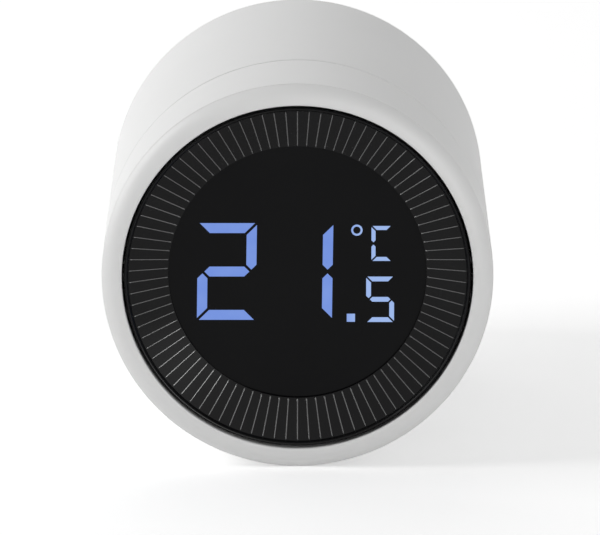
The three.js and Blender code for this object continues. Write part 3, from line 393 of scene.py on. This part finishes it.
def cell_material(name, band_from, band_to):
    """The printed jacket of an AA cell: a bright band at the button end of a dark wrap."""
    material, nodes, links, shader = new_material(name)
    place = nodes.new("ShaderNodeTexCoord")
    split = nodes.new("ShaderNodeSeparateXYZ")
    links.new(place.outputs["Object"], split.inputs["Vector"])
    clouds = noise(nodes, links, 150, 3)
    along = spread(nodes, links, split.outputs["Y"], 0, 1, band_from * MM, band_to * MM)
    ramp = nodes.new("ShaderNodeValToRGB")
    ramp.color_ramp.interpolation = "CONSTANT"
    ramp.color_ramp.elements[0].color = (0.55, 0.33, 0.12, 1)
    ramp.color_ramp.elements[1].position = 0.5
    ramp.color_ramp.elements[1].color = (0.025, 0.026, 0.03, 1)
    links.new(along, ramp.inputs["Fac"])
    links.new(ramp.outputs["Color"], shader.inputs["Base Color"])
    links.new(spread(nodes, links, clouds.outputs["Fac"], 0.22, 0.34), shader.inputs["Roughness"])
    shader.inputs["Metallic"].default_value = 0.6
    return material


BOARD = board_material()


def finish_piece(obj, material, body, slot_name, *nodes):
    """Gives a piece its material and body, and lets it stand for CAD nodes; slot_name is not used."""
    obj.data.materials.clear()
    obj.data.materials.append(material)
    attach(obj, body)
    if nodes:
        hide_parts(*nodes)
    return obj


# ---- Setting ring ----
RING_TEETH = 63
RING_MODULE = 0.8
GEAR_FRONT, GEAR_REAR = 8.2, 11.2


def bezier(p0, p1, p2, p3, steps):
    """Points on a cubic curve."""
    points = []
    for i in range(steps + 1):
        t = i / steps
        u = 1 - t
        points.append(tuple(
            u ** 3 * a + 3 * u * u * t * b + 3 * u * t * t * c + t ** 3 * d
            for a, b, c, d in zip(p0, p1, p2, p3)
        ))
    return points


def ring_shell():
    """The ring's wall with its round front rim."""
    crown = -RIM_CROWN
    shoulder = (HEAD_RADIUS - 0.08, 0.42)
    corner = bezier((HEAD_RADIUS, 0.62), (HEAD_RADIUS, 0.54), (HEAD_RADIUS - 0.04, 0.47), shoulder, 4)
    front = bezier(
        shoulder, (shoulder[0] - 0.48, shoulder[1] - 0.62),
        (RIM_BORE + 1.7, crown), (RIM_BORE + 0.3, crown), 18,
    )
    edge = bezier(
        (RIM_BORE + 0.3, crown), (RIM_BORE + 0.12, crown), (RIM_BORE, crown + 0.1), (RIM_BORE, crown + 0.3), 6
    )
    inside = [
        (RIM_BORE, 2, 0.1),
        (SHELL_BORE, 2, 0.2),
        (SHELL_BORE, RING_REAR - 3, 0.2),
        (RING_LAND, RING_REAR - 3, 0.1),
        (RING_LAND, RING_REAR, 0.3),
        (HEAD_RADIUS, RING_REAR, 0.2),
    ]
    back = rounded([(RIM_BORE, crown + 0.5, 0), *inside, (HEAD_RADIUS, 1.0, 0)])
    return turned("ring_shell", corner + front[1:] + edge[1:] + back)


def ring_gear():
    """The gear inside the ring, which turns the encoder."""
    pitch_radius = RING_MODULE * RING_TEETH / 2
    tip = pitch_radius - 0.7 * RING_MODULE
    root = pitch_radius + RING_MODULE
    pitch = FULL_TURN / RING_TEETH
    angles, radii = [], {}
    for tooth in range(RING_TEETH):
        middle = math.pi / 2 + tooth * pitch
        for share, radius in ((-0.33, tip), (-0.16, root), (0.16, root), (0.33, tip)):
            angle = middle + share * pitch
            angles.append(angle)
            radii[angle] = radius
    outline = [(0, GEAR_FRONT), (SHELL_BORE + 0.2, GEAR_FRONT), (SHELL_BORE + 0.2, GEAR_REAR), (0, GEAR_REAR)]
    return turned("ring_gear", outline, angles, shape=lambda r, s, angle: (r or radii[angle], s))


ring = join("ring_body", [ring_shell(), ring_gear()])
finish_piece(ring, WHITE, "ring", "white_shell", "setting_ring")

# ---- Face ----
RIB_COUNT = 90
RIB_WIDTH = 0.2
RIB_HEIGHT = 0.13
FUNNEL_TOP = FACE_RADIUS - 0.6
FUNNEL_START = 0.2
LEG_ANGLES = (30, 150, 270)
LEG_RADIUS, BARB_RADIUS = 1.5, 2.2


def funnel_depth(radius):
    """How far the dished face lies behind the rim at a radius."""
    share = (FUNNEL_TOP - radius) / (FUNNEL_TOP - DISPLAY_RADIUS)
    return FUNNEL_START + (FUNNEL_DEPTH - FUNNEL_START) * share


def bezel():
    """The black dish with its rolled lip."""
    lip = bezier(
        (FACE_RADIUS, 0.1), (FACE_RADIUS, -0.6),
        (FACE_RADIUS - 0.45, -0.75), (FUNNEL_TOP, FUNNEL_START - 0.1), 8,
    )
    back = [
        (FUNNEL_TOP - 0.04, FUNNEL_START),
        (DISPLAY_RADIUS, FUNNEL_DEPTH),
        (DISPLAY_RADIUS, FUNNEL_DEPTH + 0.3),
        (WINDOW_RECESS, FUNNEL_DEPTH + 0.3),
        (WINDOW_RECESS, BEZEL_REAR),
        (FACE_RADIUS, BEZEL_REAR),
    ]
    return turned("bezel_dish", held(lip + back))


def ribs():
    """Fine half-round ribs down the dish, each with a small bead at its inner end."""
    slope = math.atan2(FUNNEL_DEPTH - FUNNEL_START, FUNNEL_TOP - DISPLAY_RADIUS)
    outer, inner = FUNNEL_TOP - 0.05, DISPLAY_RADIUS + 0.06
    stations = [
        (outer, 0.02), (outer - 0.12, 0.75), (outer - 0.3, 1), (inner + 0.55, 1), (inner + 0.42, 1.3),
        (inner + 0.25, 1.5), (inner + 0.1, 1.25), (inner, 0.02),
    ]
    across = [
        (-1, -0.8), (-1, 0.1), (-0.72, 0.72), (-0.26, 0.97), (0.26, 0.97), (0.72, 0.72), (1, 0.1), (1, -0.8),
    ]
    verts, faces = [], []
    for rib in range(RIB_COUNT):
        angle = FULL_TURN * (rib + 0.5) / RIB_COUNT
        first = len(verts)
        for radius, size in stations:
            for side, rise in across:
                lift = RIB_HEIGHT * size * rise
                r = radius - lift * math.sin(slope)
                s = funnel_depth(radius) - lift * math.cos(slope)
                offset = side * size * RIB_WIDTH / 2 / radius
                verts.append(point(r, s, angle + offset))
        n, last = len(across), first + (len(stations) - 1) * len(across)
        for i in range(len(stations) - 1):
            for k in range(n):
                a, b = first + i * n + k, first + i * n + (k + 1) % n
                faces.append((a, b, b + n, a + n))
        faces.append(tuple(first + k for k in reversed(range(n))))
        faces.append(tuple(last + k for k in range(n)))
    return make("face_ribs", verts, faces)


def bezel_legs():
    """Three snap legs that guide the face through the chassis."""
    reach = span("face_bezel")[2]
    legs = []
    for angle in LEG_ANGLES:
        place = polar(WINDOW_RECESS + 1.7, angle)
        legs.append(cylinder("leg", LEG_RADIUS, BEZEL_REAR - 0.3, reach, place))
        legs.append(cylinder("barb", BARB_RADIUS, reach - 1.0, reach, place))
    return legs


face = join("face_dish", [bezel(), *bezel_legs()])
finish_piece(face, GLOSS_BLACK, "face", "gloss_black", "face_bezel")
finish_piece(ribs(), RIB_BLACK, "face", "gloss_black")

window_outline = rounded([
    (NEAR_AXIS, WINDOW_FRONT, 0), (WINDOW_RADIUS, WINDOW_FRONT, 0.1),
    (WINDOW_RADIUS, WINDOW_REAR, 0.1), (NEAR_AXIS, WINDOW_REAR, 0),
])
window = turned("window_pane", window_outline)
finish_piece(window, WINDOW_BLACK, "face", "window_black", "display_window")


# ---- Lit digits ----
SLANT = 0.014
GLYPH_DEPTH = (WINDOW_FRONT - 0.04, WINDOW_FRONT + 0.2)


def segments(width, height, stroke, gap):
    """The seven mitred bars of a digit about its centre, by letter."""
    x, z = width / 2, height / 2
    top = [(-x + gap, z), (x - gap, z), (x - stroke - gap, z - stroke), (-x + stroke + gap, z - stroke)]
    upper_right = [
        (x, z - gap), (x, stroke / 2 + gap), (x - stroke / 2, gap),
        (x - stroke, stroke / 2 + gap), (x - stroke, z - stroke - gap),
    ]
    middle = [
        (-x + stroke / 2 + gap, 0), (-x + stroke + gap, stroke / 2), (x - stroke - gap, stroke / 2),
        (x - stroke / 2 - gap, 0), (x - stroke - gap, -stroke / 2), (-x + stroke + gap, -stroke / 2),
    ]

    def flip(corners, across, up):
        turned_over = [(across * a, up * b) for a, b in corners]
        return turned_over if across * up > 0 else turned_over[::-1]

    return {
        "a": top, "b": upper_right, "c": flip(upper_right, 1, -1), "d": flip(top, 1, -1),
        "e": flip(upper_right, -1, -1), "f": flip(upper_right, -1, 1), "g": middle,
    }


def glyph(bars, place, size, slant=0.0):
    """The lit bars of one character."""
    shapes = segments(*size)
    x0, z0 = place
    return [
        slab("bar", [(x0 + x + slant * z, z0 + z) for x, z in shapes[bar]], *GLYPH_DEPTH)
        for bar in bars
    ]


# Width, height, stroke and gap of each size of character; the degree sign has two radii
BIG = (8.45, 14.22, 1.45, 0.28)
SMALL = (4.0, 6.68, 0.69, 0.18)
UNIT = (2.9, 5.12, 0.58, 0.17)
DEGREE = (0.53, 0.81)


def degree_sign(place):
    """A small ring."""
    x0, z0 = place
    inner, outer = DEGREE
    front, rear = GLYPH_DEPTH
    sign = turned("degree", [(inner, front), (outer, front), (outer, rear), (inner, rear)])
    sign.data.transform(Matrix.Translation((x0 * MM, 0, z0 * MM)))
    return sign


def decimal_point(x, z, size):
    """A square dot with its lower left corner at (x, z)."""
    return slab("point", [(x, z), (x + size, z), (x + size, z + size), (x, z + size)], *GLYPH_DEPTH)


digits = [
    *glyph("abged", (-10.12, 0.04), BIG, SLANT),
    *glyph("bc", (0.81, 0.04), BIG, SLANT),
    *glyph("afgcd", (11.85, -4.05), SMALL),
    *glyph("afed", (12.04, 4.17), UNIT),
    degree_sign((8.5, 6.12)),
    decimal_point(7.07, -7.36, 1.18),
]
finish_piece(join("lit_digits", digits), LIT, "face", "light_guide")

# ---- Body sleeve and door ----
SCREW_ANGLES = (0, 50, 130, 180)
SCREW_CIRCLE = SHELL_BORE - 2.6
CAP_FRONT = HEAD_REAR - 1.8
BOSS_FRONT, BOSS_REAR = CAP_FRONT - 6, CAP_FRONT - 0.3
BOSS_RADIUS = 2.0
LUG_HALF = 3
DOOR_HALF = math.radians(52.86)
OPENING_HALF = math.radians(53.46)
DOWN = -math.pi / 2


def sleeve():
    """The body sleeve, open underneath for the door, with the cap's screw bosses."""
    outline = rounded([
        (HEAD_RADIUS, SLEEVE_FRONT, 0.34),
        (HEAD_RADIUS, HEAD_REAR, 0.7),
        (SHELL_BORE, HEAD_REAR, 0.2),
        (SHELL_BORE, SLEEVE_FRONT + 2.0, 0),
        (SHELL_BORE + 0.4, SLEEVE_FRONT + 1.9, 0),
        (SHELL_BORE + 0.4, SLEEVE_FRONT + 1.1, 0),
        (SHELL_BORE, SLEEVE_FRONT + 1.0, 0),
        (SHELL_BORE, SLEEVE_FRONT, 0.15),
    ])
    shell = turned("sleeve_shell", outline)
    wedge = [
        (SHELL_BORE - 3, OPENING_FRONT), (HEAD_RADIUS + 3, OPENING_FRONT),
        (HEAD_RADIUS + 3, HEAD_REAR + 2), (SHELL_BORE - 3, HEAD_REAR + 2),
    ]
    opening = turned("opening", wedge, start=DOWN - OPENING_HALF, sweep=2 * OPENING_HALF)
    carve(shell, [opening], edge=0.12)
    bosses = [
        cylinder("boss", BOSS_RADIUS, BOSS_FRONT, BOSS_REAR, polar(SCREW_CIRCLE, a)) for a in SCREW_ANGLES
    ]
    lug_outline = [
        (SCREW_CIRCLE, BOSS_FRONT), (SHELL_BORE + 0.3, BOSS_FRONT),
        (SHELL_BORE + 0.3, BOSS_REAR), (SCREW_CIRCLE, BOSS_REAR),
    ]
    lugs = [
        turned("lug", lug_outline, start=math.radians(a - LUG_HALF), sweep=math.radians(2 * LUG_HALF))
        for a in SCREW_ANGLES
    ]
    return join("body_shell", [shell, *bosses, *lugs])


finish_piece(sleeve(), WHITE, "root", "white_shell", "body_sleeve")

GRIP_FIRST, GRIP_PITCH, GRIP_COUNT, GRIP_DEPTH = 50.0, 2.0, 6, 0.45
GRIP_HALF = math.radians(15)


def grip(r, s, angle):
    """Shallow grooves for the thumb, near the rear end of the door."""
    if r < HEAD_RADIUS - 0.05:
        return r, s
    place = (s - GRIP_FIRST) / GRIP_PITCH
    if not 0 <= place <= GRIP_COUNT:
        return r, s
    side = min(1.0, max(0.0, (GRIP_HALF - abs(angle - DOWN)) / math.radians(1.5)))
    return r - GRIP_DEPTH * side * math.sin(math.pi * (place % 1)) ** 2, s


def door():
    """The curved battery door with its grip grooves and its two rails."""
    along = [GRIP_FIRST + GRIP_PITCH * i / 8 for i in range(8 * GRIP_COUNT + 1)]
    outline = rounded([
        (SHELL_BORE, HEAD_REAR, 0.2), (SHELL_BORE, DOOR_FRONT, 0.15),
        (HEAD_RADIUS, DOOR_FRONT, 0.2), (HEAD_RADIUS, GRIP_FIRST - 1, 0),
    ])
    outline += [(HEAD_RADIUS, s) for s in along]
    outline += rounded([
        (HEAD_RADIUS, along[-1] + 0.5, 0), (HEAD_RADIUS, HEAD_REAR, 0.7), (SHELL_BORE + 0.3, HEAD_REAR, 0)
    ])
    shell = turned("door_shell", outline, start=DOWN - DOOR_HALF, sweep=2 * DOOR_HALF, shape=grip)
    rails = []
    rail_front, rail_rear = DOOR_FRONT + 1.2, span("battery_tray")[2]
    inner = SHELL_BORE - 1.5
    for side in (-1, 1):
        for outer, lap in ((SHELL_BORE - 0.3, 4.6), (SHELL_BORE + 0.2, 0)):
            ends = sorted((side * (math.degrees(DOOR_HALF) - 4), side * (math.degrees(DOOR_HALF) + lap)))
            outline = [(inner, rail_front), (outer, rail_front), (outer, rail_rear), (inner, rail_rear)]
            rails.append(turned(
                "rail", outline, start=DOWN + math.radians(ends[0]), sweep=math.radians(ends[1] - ends[0])
            ))
    return join("door_panel", [shell, *rails])


finish_piece(door(), WHITE, "door", "white_shell", "battery_door")


# ---- Rear cap, union nut and seat collar ----
SPIGOT_RADIUS = 12.2
SPIGOT_BORE = 10.5
SQUARE = 3.25
SPIGOT_STEP = 0.6
CAP_RECESS = 0.35
NOTCH_HALF = math.radians(5.3)


def rear_cap():
    """The cap with its spigot, screw holes, door notches and the plunger's square guide."""
    neck = COLLAR_FRONT - 0.3
    outline = rounded([
        (NEAR_AXIS, CAP_BOSS_FRONT + 5, 0),
        (5.8, CAP_BOSS_FRONT + 5, 0.2),
        (5.8, CAP_FRONT, 0.2),
        (CAP_RADIUS, CAP_FRONT, 0.2),
        (CAP_RADIUS, HEAD_REAR, 0.5),
        (CAP_RADIUS - 3.6, HEAD_REAR, 0),
        (CAP_RADIUS - 4.2, HEAD_REAR - CAP_RECESS, 0.1),
        (SPIGOT_RADIUS + 1.5, HEAD_REAR - CAP_RECESS, 0.2),
        (SPIGOT_RADIUS, HEAD_REAR, 0.3),
        (SPIGOT_RADIUS, neck, 0.2),
        (SPIGOT_RADIUS - SPIGOT_STEP, neck, 0.1),
        (SPIGOT_RADIUS - SPIGOT_STEP, SEAT, 0.2),
        (SPIGOT_BORE, SEAT, 0.2),
        (SPIGOT_BORE, HEAD_REAR, 0.3),
        (NEAR_AXIS, HEAD_REAR, 0),
    ])
    cap = turned("cap_disc", outline)
    square = [(-SQUARE, -SQUARE), (SQUARE, -SQUARE), (SQUARE, SQUARE), (-SQUARE, SQUARE)]
    cutters = [slab("guide", square, CAP_BOSS_FRONT, HEAD_REAR + 2)]
    cutters += [
        cylinder("hole", 1.1, CAP_FRONT - 1, HEAD_REAR + 1, polar(SCREW_CIRCLE, a)) for a in SCREW_ANGLES
    ]
    notch = [
        (SHELL_BORE - 1.8, CAP_FRONT - 1), (SHELL_BORE + 2, CAP_FRONT - 1),
        (SHELL_BORE + 2, HEAD_REAR + 1), (SHELL_BORE - 1.8, HEAD_REAR + 1),
    ]
    for side in (-1, 1):
        door_side = DOWN + side * DOOR_HALF
        cutters.append(turned("notch", notch, start=door_side - NOTCH_HALF, sweep=2 * NOTCH_HALF))
    carve(cap, cutters, edge=0.1)
    bosses = [cylinder("boss", 2.2, CAP_BOSS_FRONT, CAP_FRONT + 0.1, place) for place in gearbox_posts()]
    return join("cap_body", [cap, *bosses])


def gearbox_posts():
    """Where the long gearbox screws stand, read from their CAD boxes."""
    places = []
    for i in (1, 2, 3):
        low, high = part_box(f"gearbox_screw_{i}")
        centre = (low + high) / 2 / MM
        places.append((centre.x, centre.z))
    return places


finish_piece(rear_cap(), WHITE, "root", "white_shell", "rear_cap")

collar_outline = rounded([
    (SPIGOT_RADIUS - 0.3, COLLAR_FRONT, 0.1), (COLLAR_RADIUS, COLLAR_FRONT, 0.3),
    (COLLAR_RADIUS, SEAT, 0.3), (SPIGOT_RADIUS - 0.3, SEAT, 0.2),
])
finish_piece(turned("seat_ring", collar_outline), BRASS, "root", "brass", "seat_collar")

NUT_RIBS = 24
NUT_RIB_HEIGHT = 0.8
NUT_BASE = NUT_RADIUS - NUT_RIB_HEIGHT
THREAD_MINOR = 14.25
THREAD_DEPTH = 0.75
THREAD_PITCH = 1.5
FLANGE_REAR = NUT_FRONT + 7.3
THREAD_START = SEAT + 0.4


def nut_surface(r, s, angle):
    """Grip ribs outside and a right-hand thread inside."""
    if r > NUT_BASE - 0.01:
        across = math.cos(NUT_RIBS * angle)
        rib = min(1.0, max(0.0, (across + 0.25) / 0.5))
        ends = min(1.0, max(0.0, (s - NUT_FRONT - 1.0) / 0.6)) * min(1.0, max(0.0, (MOUTH - 1.6 - s) / 0.6))
        return r + NUT_RIB_HEIGHT * rib * rib * (3 - 2 * rib) * ends, s
    if abs(r - THREAD_MINOR) < 0.01 and THREAD_START < s < MOUTH - 0.5:
        turn = (s / THREAD_PITCH + angle / FULL_TURN) % 1
        depth = min(1.0, max(0.0, 1.35 - abs(turn - 0.5) * 4))
        lead = min(1.0, (s - THREAD_START) / 0.8) * min(1.0, (MOUTH - 0.5 - s) / 0.6)
        return r + THREAD_DEPTH * depth * lead, s
    return r, s


def nut():
    """The union nut: a flange in front, grip ribs and thread behind."""
    def run(radius, start, end, step):
        count = max(1, round(abs(end - start) / step))
        return [(radius, start + (end - start) * i / count) for i in range(count + 1)]

    outside = run(NUT_BASE, NUT_FRONT + 0.7, MOUTH - 0.7, 0.3)
    thread = run(THREAD_MINOR, MOUTH - 0.4, FLANGE_REAR + 0.2, 0.125)
    outline = [
        (SPIGOT_RADIUS + 0.4, NUT_FRONT + 0.2),
        (SPIGOT_RADIUS + 0.6, NUT_FRONT),
        (NUT_BASE - 0.7, NUT_FRONT),
        (NUT_BASE - 0.2, NUT_FRONT + 0.25),
        *outside,
        (NUT_BASE - 0.2, MOUTH - 0.25),
        (NUT_BASE - 0.7, MOUTH),
        (THREAD_MINOR + 0.6, MOUTH),
        *thread,
        (THREAD_MINOR - 0.1, FLANGE_REAR),
        (SPIGOT_RADIUS + 0.4, FLANGE_REAR),
    ]
    angles = [FULL_TURN * i / (NUT_RIBS * 12) for i in range(NUT_RIBS * 12)]
    return turned("nut_body", outline, angles, shape=nut_surface)


finish_piece(nut(), WHITE, "nut", "white_shell", "union_nut")


# ---- Rear screws ----
PAN_RADIUS, PAN_EDGE, PAN_CROWN = 1.9, 0.35, 0.65
SHANK_RADIUS, SHANK_LENGTH = 0.75, 5
CROSS_ARM, CROSS_BLADE, CROSS_DEPTH = 1.05, 0.26, 0.55


def cap_screw(i, angle):
    """A pan-head screw with a cross recess."""
    x, z = polar(SCREW_CIRCLE, angle)
    head_rear = span(f"cap_screw_{i}")[2]
    seat = head_rear - 1.0
    outline = [(NEAR_AXIS, seat), (PAN_RADIUS, seat), (PAN_RADIUS, seat + PAN_EDGE)]
    outline += [
        (PAN_RADIUS * math.cos(t), seat + PAN_EDGE + PAN_CROWN * math.sin(t))
        for t in (0.3, 0.6, 0.9, 1.2, 1.45)
    ]
    outline += [(NEAR_AXIS, head_rear)]
    head = turned("head", outline, [FULL_TURN * k / 40 for k in range(40)])
    shank_outline = [
        (NEAR_AXIS, seat - SHANK_LENGTH - 0.5), (SHANK_RADIUS, seat - SHANK_LENGTH),
        (SHANK_RADIUS, seat + 0.1), (NEAR_AXIS, seat + 0.1),
    ]
    shank = turned("shank", shank_outline, [FULL_TURN * k / 20 for k in range(20)])
    cross = []
    for half_x, half_z in ((CROSS_ARM, CROSS_BLADE), (CROSS_BLADE, CROSS_ARM)):
        arm = [(-half_x, -half_z), (half_x, -half_z), (half_x, half_z), (-half_x, half_z)]
        cross.append(slab("arm", arm, head_rear - CROSS_DEPTH, head_rear + 1))
    carve(head, cross)
    screw = join(f"rear_screw_{i}", [head, shank])
    for vertex in screw.data.vertices:
        vertex.co.x += x * MM
        vertex.co.z += z * MM
    return screw


for index, screw_angle in enumerate(SCREW_ANGLES, 1):
    finish_piece(cap_screw(index, screw_angle), STEEL, "root", "steel", f"cap_screw_{index}")

# ---- Finishes of the pieces that keep their CAD shape ----
BAND_END = 32
_, LEFT_FRONT, _ = span("battery_left")
_, _, RIGHT_REAR = span("battery_right")
FINISHES = {
    BLACK: [
        "tact_switch_left", "tact_switch_right", "led_housing", "mcu_chip", "temperature_sensor",
        "encoder_body", "chassis", "battery_tray",
    ],
    GREY: [
        "switch_plunger_left", "switch_plunger_right", "gearbox_front_plate", "gearbox_mid_plate",
        "gearbox_rear_plate", "plunger",
    ],
    ACETAL: ["encoder_gear", "compound_gear_1", "compound_gear_2", "drive_gear"],
    BOARD: ["main_pcb"],
    CLEAR: ["led_light_guide"],
    STEEL: [
        "encoder_shaft", "ring_retaining_clip", "contact_spring_left", "contact_spring_right", "gear_motor",
        "gear_pin_1", "gear_pin_2", "thrust_washer", "pcb_screw_1", "pcb_screw_2", "tray_screw_left",
        "tray_screw_right", "gearbox_screw_1", "gearbox_screw_2", "gearbox_screw_3", "motor_screw_1",
        "motor_screw_2",
    ],
    NICKEL: ["radio_module", "contact_plate_left", "contact_plate_right", "rear_contact_plate"],
    BRASS: ["motor_pinion"],
    ALUMINIUM: ["capacitor"],
    RED: ["motor_lead_red"],
    DARK_LEAD: ["motor_lead_black"],
    cell_material("cell_left", LEFT_FRONT + FRONT_Y, LEFT_FRONT + FRONT_Y + BAND_END): ["battery_left"],
    cell_material("cell_right", RIGHT_REAR + FRONT_Y, RIGHT_REAR + FRONT_Y - BAND_END): ["battery_right"],
}
for material, names in FINISHES.items():
    for name in names:
        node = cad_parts[name]
        node.data.materials.clear()
        node.data.materials.append(material)


# ---- Studio ----
FLOOR_GLOW = 0.46
WORLD_LIGHT = 0.24
FLOOR_GAP = 0.05
FLOOR_HALF = 3.0


def seen(nodes, links):
    """1 for a camera, mirror or refracted ray, and 0 for light that falls on the object."""
    rays = nodes.new("ShaderNodeLightPath")
    mirror = nodes.new("ShaderNodeMath")
    mirror.operation = "MAXIMUM"
    links.new(rays.outputs["Is Glossy Ray"], mirror.inputs[0])
    links.new(rays.outputs["Is Transmission Ray"], mirror.inputs[1])
    either = nodes.new("ShaderNodeMath")
    either.operation = "MAXIMUM"
    links.new(rays.outputs["Is Camera Ray"], either.inputs[0])
    links.new(mirror.outputs["Value"], either.inputs[1])
    return either.outputs["Value"]


def floor_material():
    """White floor that is clear from below; a glow for the camera leaves only the shadow to see."""
    material, nodes, links, shader = new_material("studio_floor")
    shader.inputs["Base Color"].default_value = (0.92, 0.92, 0.92, 1)
    shader.inputs["Roughness"].default_value = 0.9
    shader.inputs["Specular IOR Level"].default_value = 0.0
    strength = nodes.new("ShaderNodeMath")
    strength.operation = "MULTIPLY"
    strength.inputs[1].default_value = FLOOR_GLOW
    links.new(seen(nodes, links), strength.inputs[0])
    shader.inputs["Emission Color"].default_value = (1, 1, 1, 1)
    links.new(strength.outputs["Value"], shader.inputs["Emission Strength"])
    side = nodes.new("ShaderNodeNewGeometry")
    above = nodes.new("ShaderNodeMath")
    above.operation = "SUBTRACT"
    above.inputs[0].default_value = 1
    links.new(side.outputs["Backfacing"], above.inputs[1])
    links.new(above.outputs["Value"], shader.inputs["Alpha"])
    return material


floor_z = -(HEAD_RADIUS + FLOOR_GAP) * MM
floor_mesh = bpy.data.meshes.new("studio_floor")
floor_corners = [(x * FLOOR_HALF, y * FLOOR_HALF, floor_z) for x, y in ((-1, -1), (1, -1), (1, 1), (-1, 1))]
floor_mesh.from_pydata(floor_corners, [], [(0, 1, 2, 3)])
floor = bpy.data.objects.new("studio_floor", floor_mesh)
bpy.context.scene.collection.objects.link(floor)
floor.data.materials.append(floor_material())

world = bpy.data.worlds.new("studio")
bpy.context.scene.world = world
world.use_nodes = True
world_nodes, world_links = world.node_tree.nodes, world.node_tree.links
background = world_nodes["Background"]
background.inputs["Color"].default_value = (1, 1, 1, 1)
level = world_nodes.new("ShaderNodeMapRange")
level.inputs["To Min"].default_value = WORLD_LIGHT
level.inputs["To Max"].default_value = 1.0
world_links.new(seen(world_nodes, world_links), level.inputs["Value"])
world_links.new(level.outputs["Result"], background.inputs["Strength"])


def softbox(name, place, aim, size, power):
    """A rectangular lamp, in metres and watts, that points at a place."""
    light = bpy.data.lights.new(name, "AREA")
    light.shape = "RECTANGLE"
    light.size, light.size_y = size
    light.energy = power
    obj = bpy.data.objects.new(name, light)
    obj.location = place
    obj.rotation_euler = (Vector(aim) - Vector(place)).to_track_quat("-Z", "Y").to_euler()
    bpy.context.scene.collection.objects.link(obj)


middle = (0, (FRONT_Y + 30) * MM, 0)
softbox("left", (-0.85, -0.1, 0.42), middle, (0.5, 0.8), 4.7)
softbox("left_back", (-0.8, 0.55, 0.35), middle, (0.5, 0.7), 1.2)
softbox("top_back", (-0.1, 0.62, 0.75), middle, (0.7, 0.4), 1.2)
softbox("right_front", (0.75, -0.65, 0.35), middle, (0.5, 0.6), 0.7)
softbox("low_front", (0.35, -1.0, 0.12), middle, (0.4, 0.3), 2.6)

# ---- Camera ----
ELEVATION = math.radians(13.2)
DISTANCE = 0.940
SHIFT_RIGHT, SHIFT_UP = 0.36, 1.39
camera_data = bpy.data.cameras.new("camera")
camera_data.sensor_width = 36
camera_data.lens = 395
camera = bpy.data.objects.new("camera", camera_data)
camera.rotation_euler = (math.pi / 2 - ELEVATION, 0, 0)
back = Vector((0, -math.cos(ELEVATION), math.sin(ELEVATION)))
up = Vector((0, math.sin(ELEVATION), math.cos(ELEVATION)))
camera.location = Vector((SHIFT_RIGHT * MM, FRONT_Y * MM, 0)) + back * DISTANCE + up * SHIFT_UP * MM
bpy.context.scene.collection.objects.link(camera)
bpy.context.scene.camera = camera
bpy.context.scene.view_settings.view_transform = "Standard"
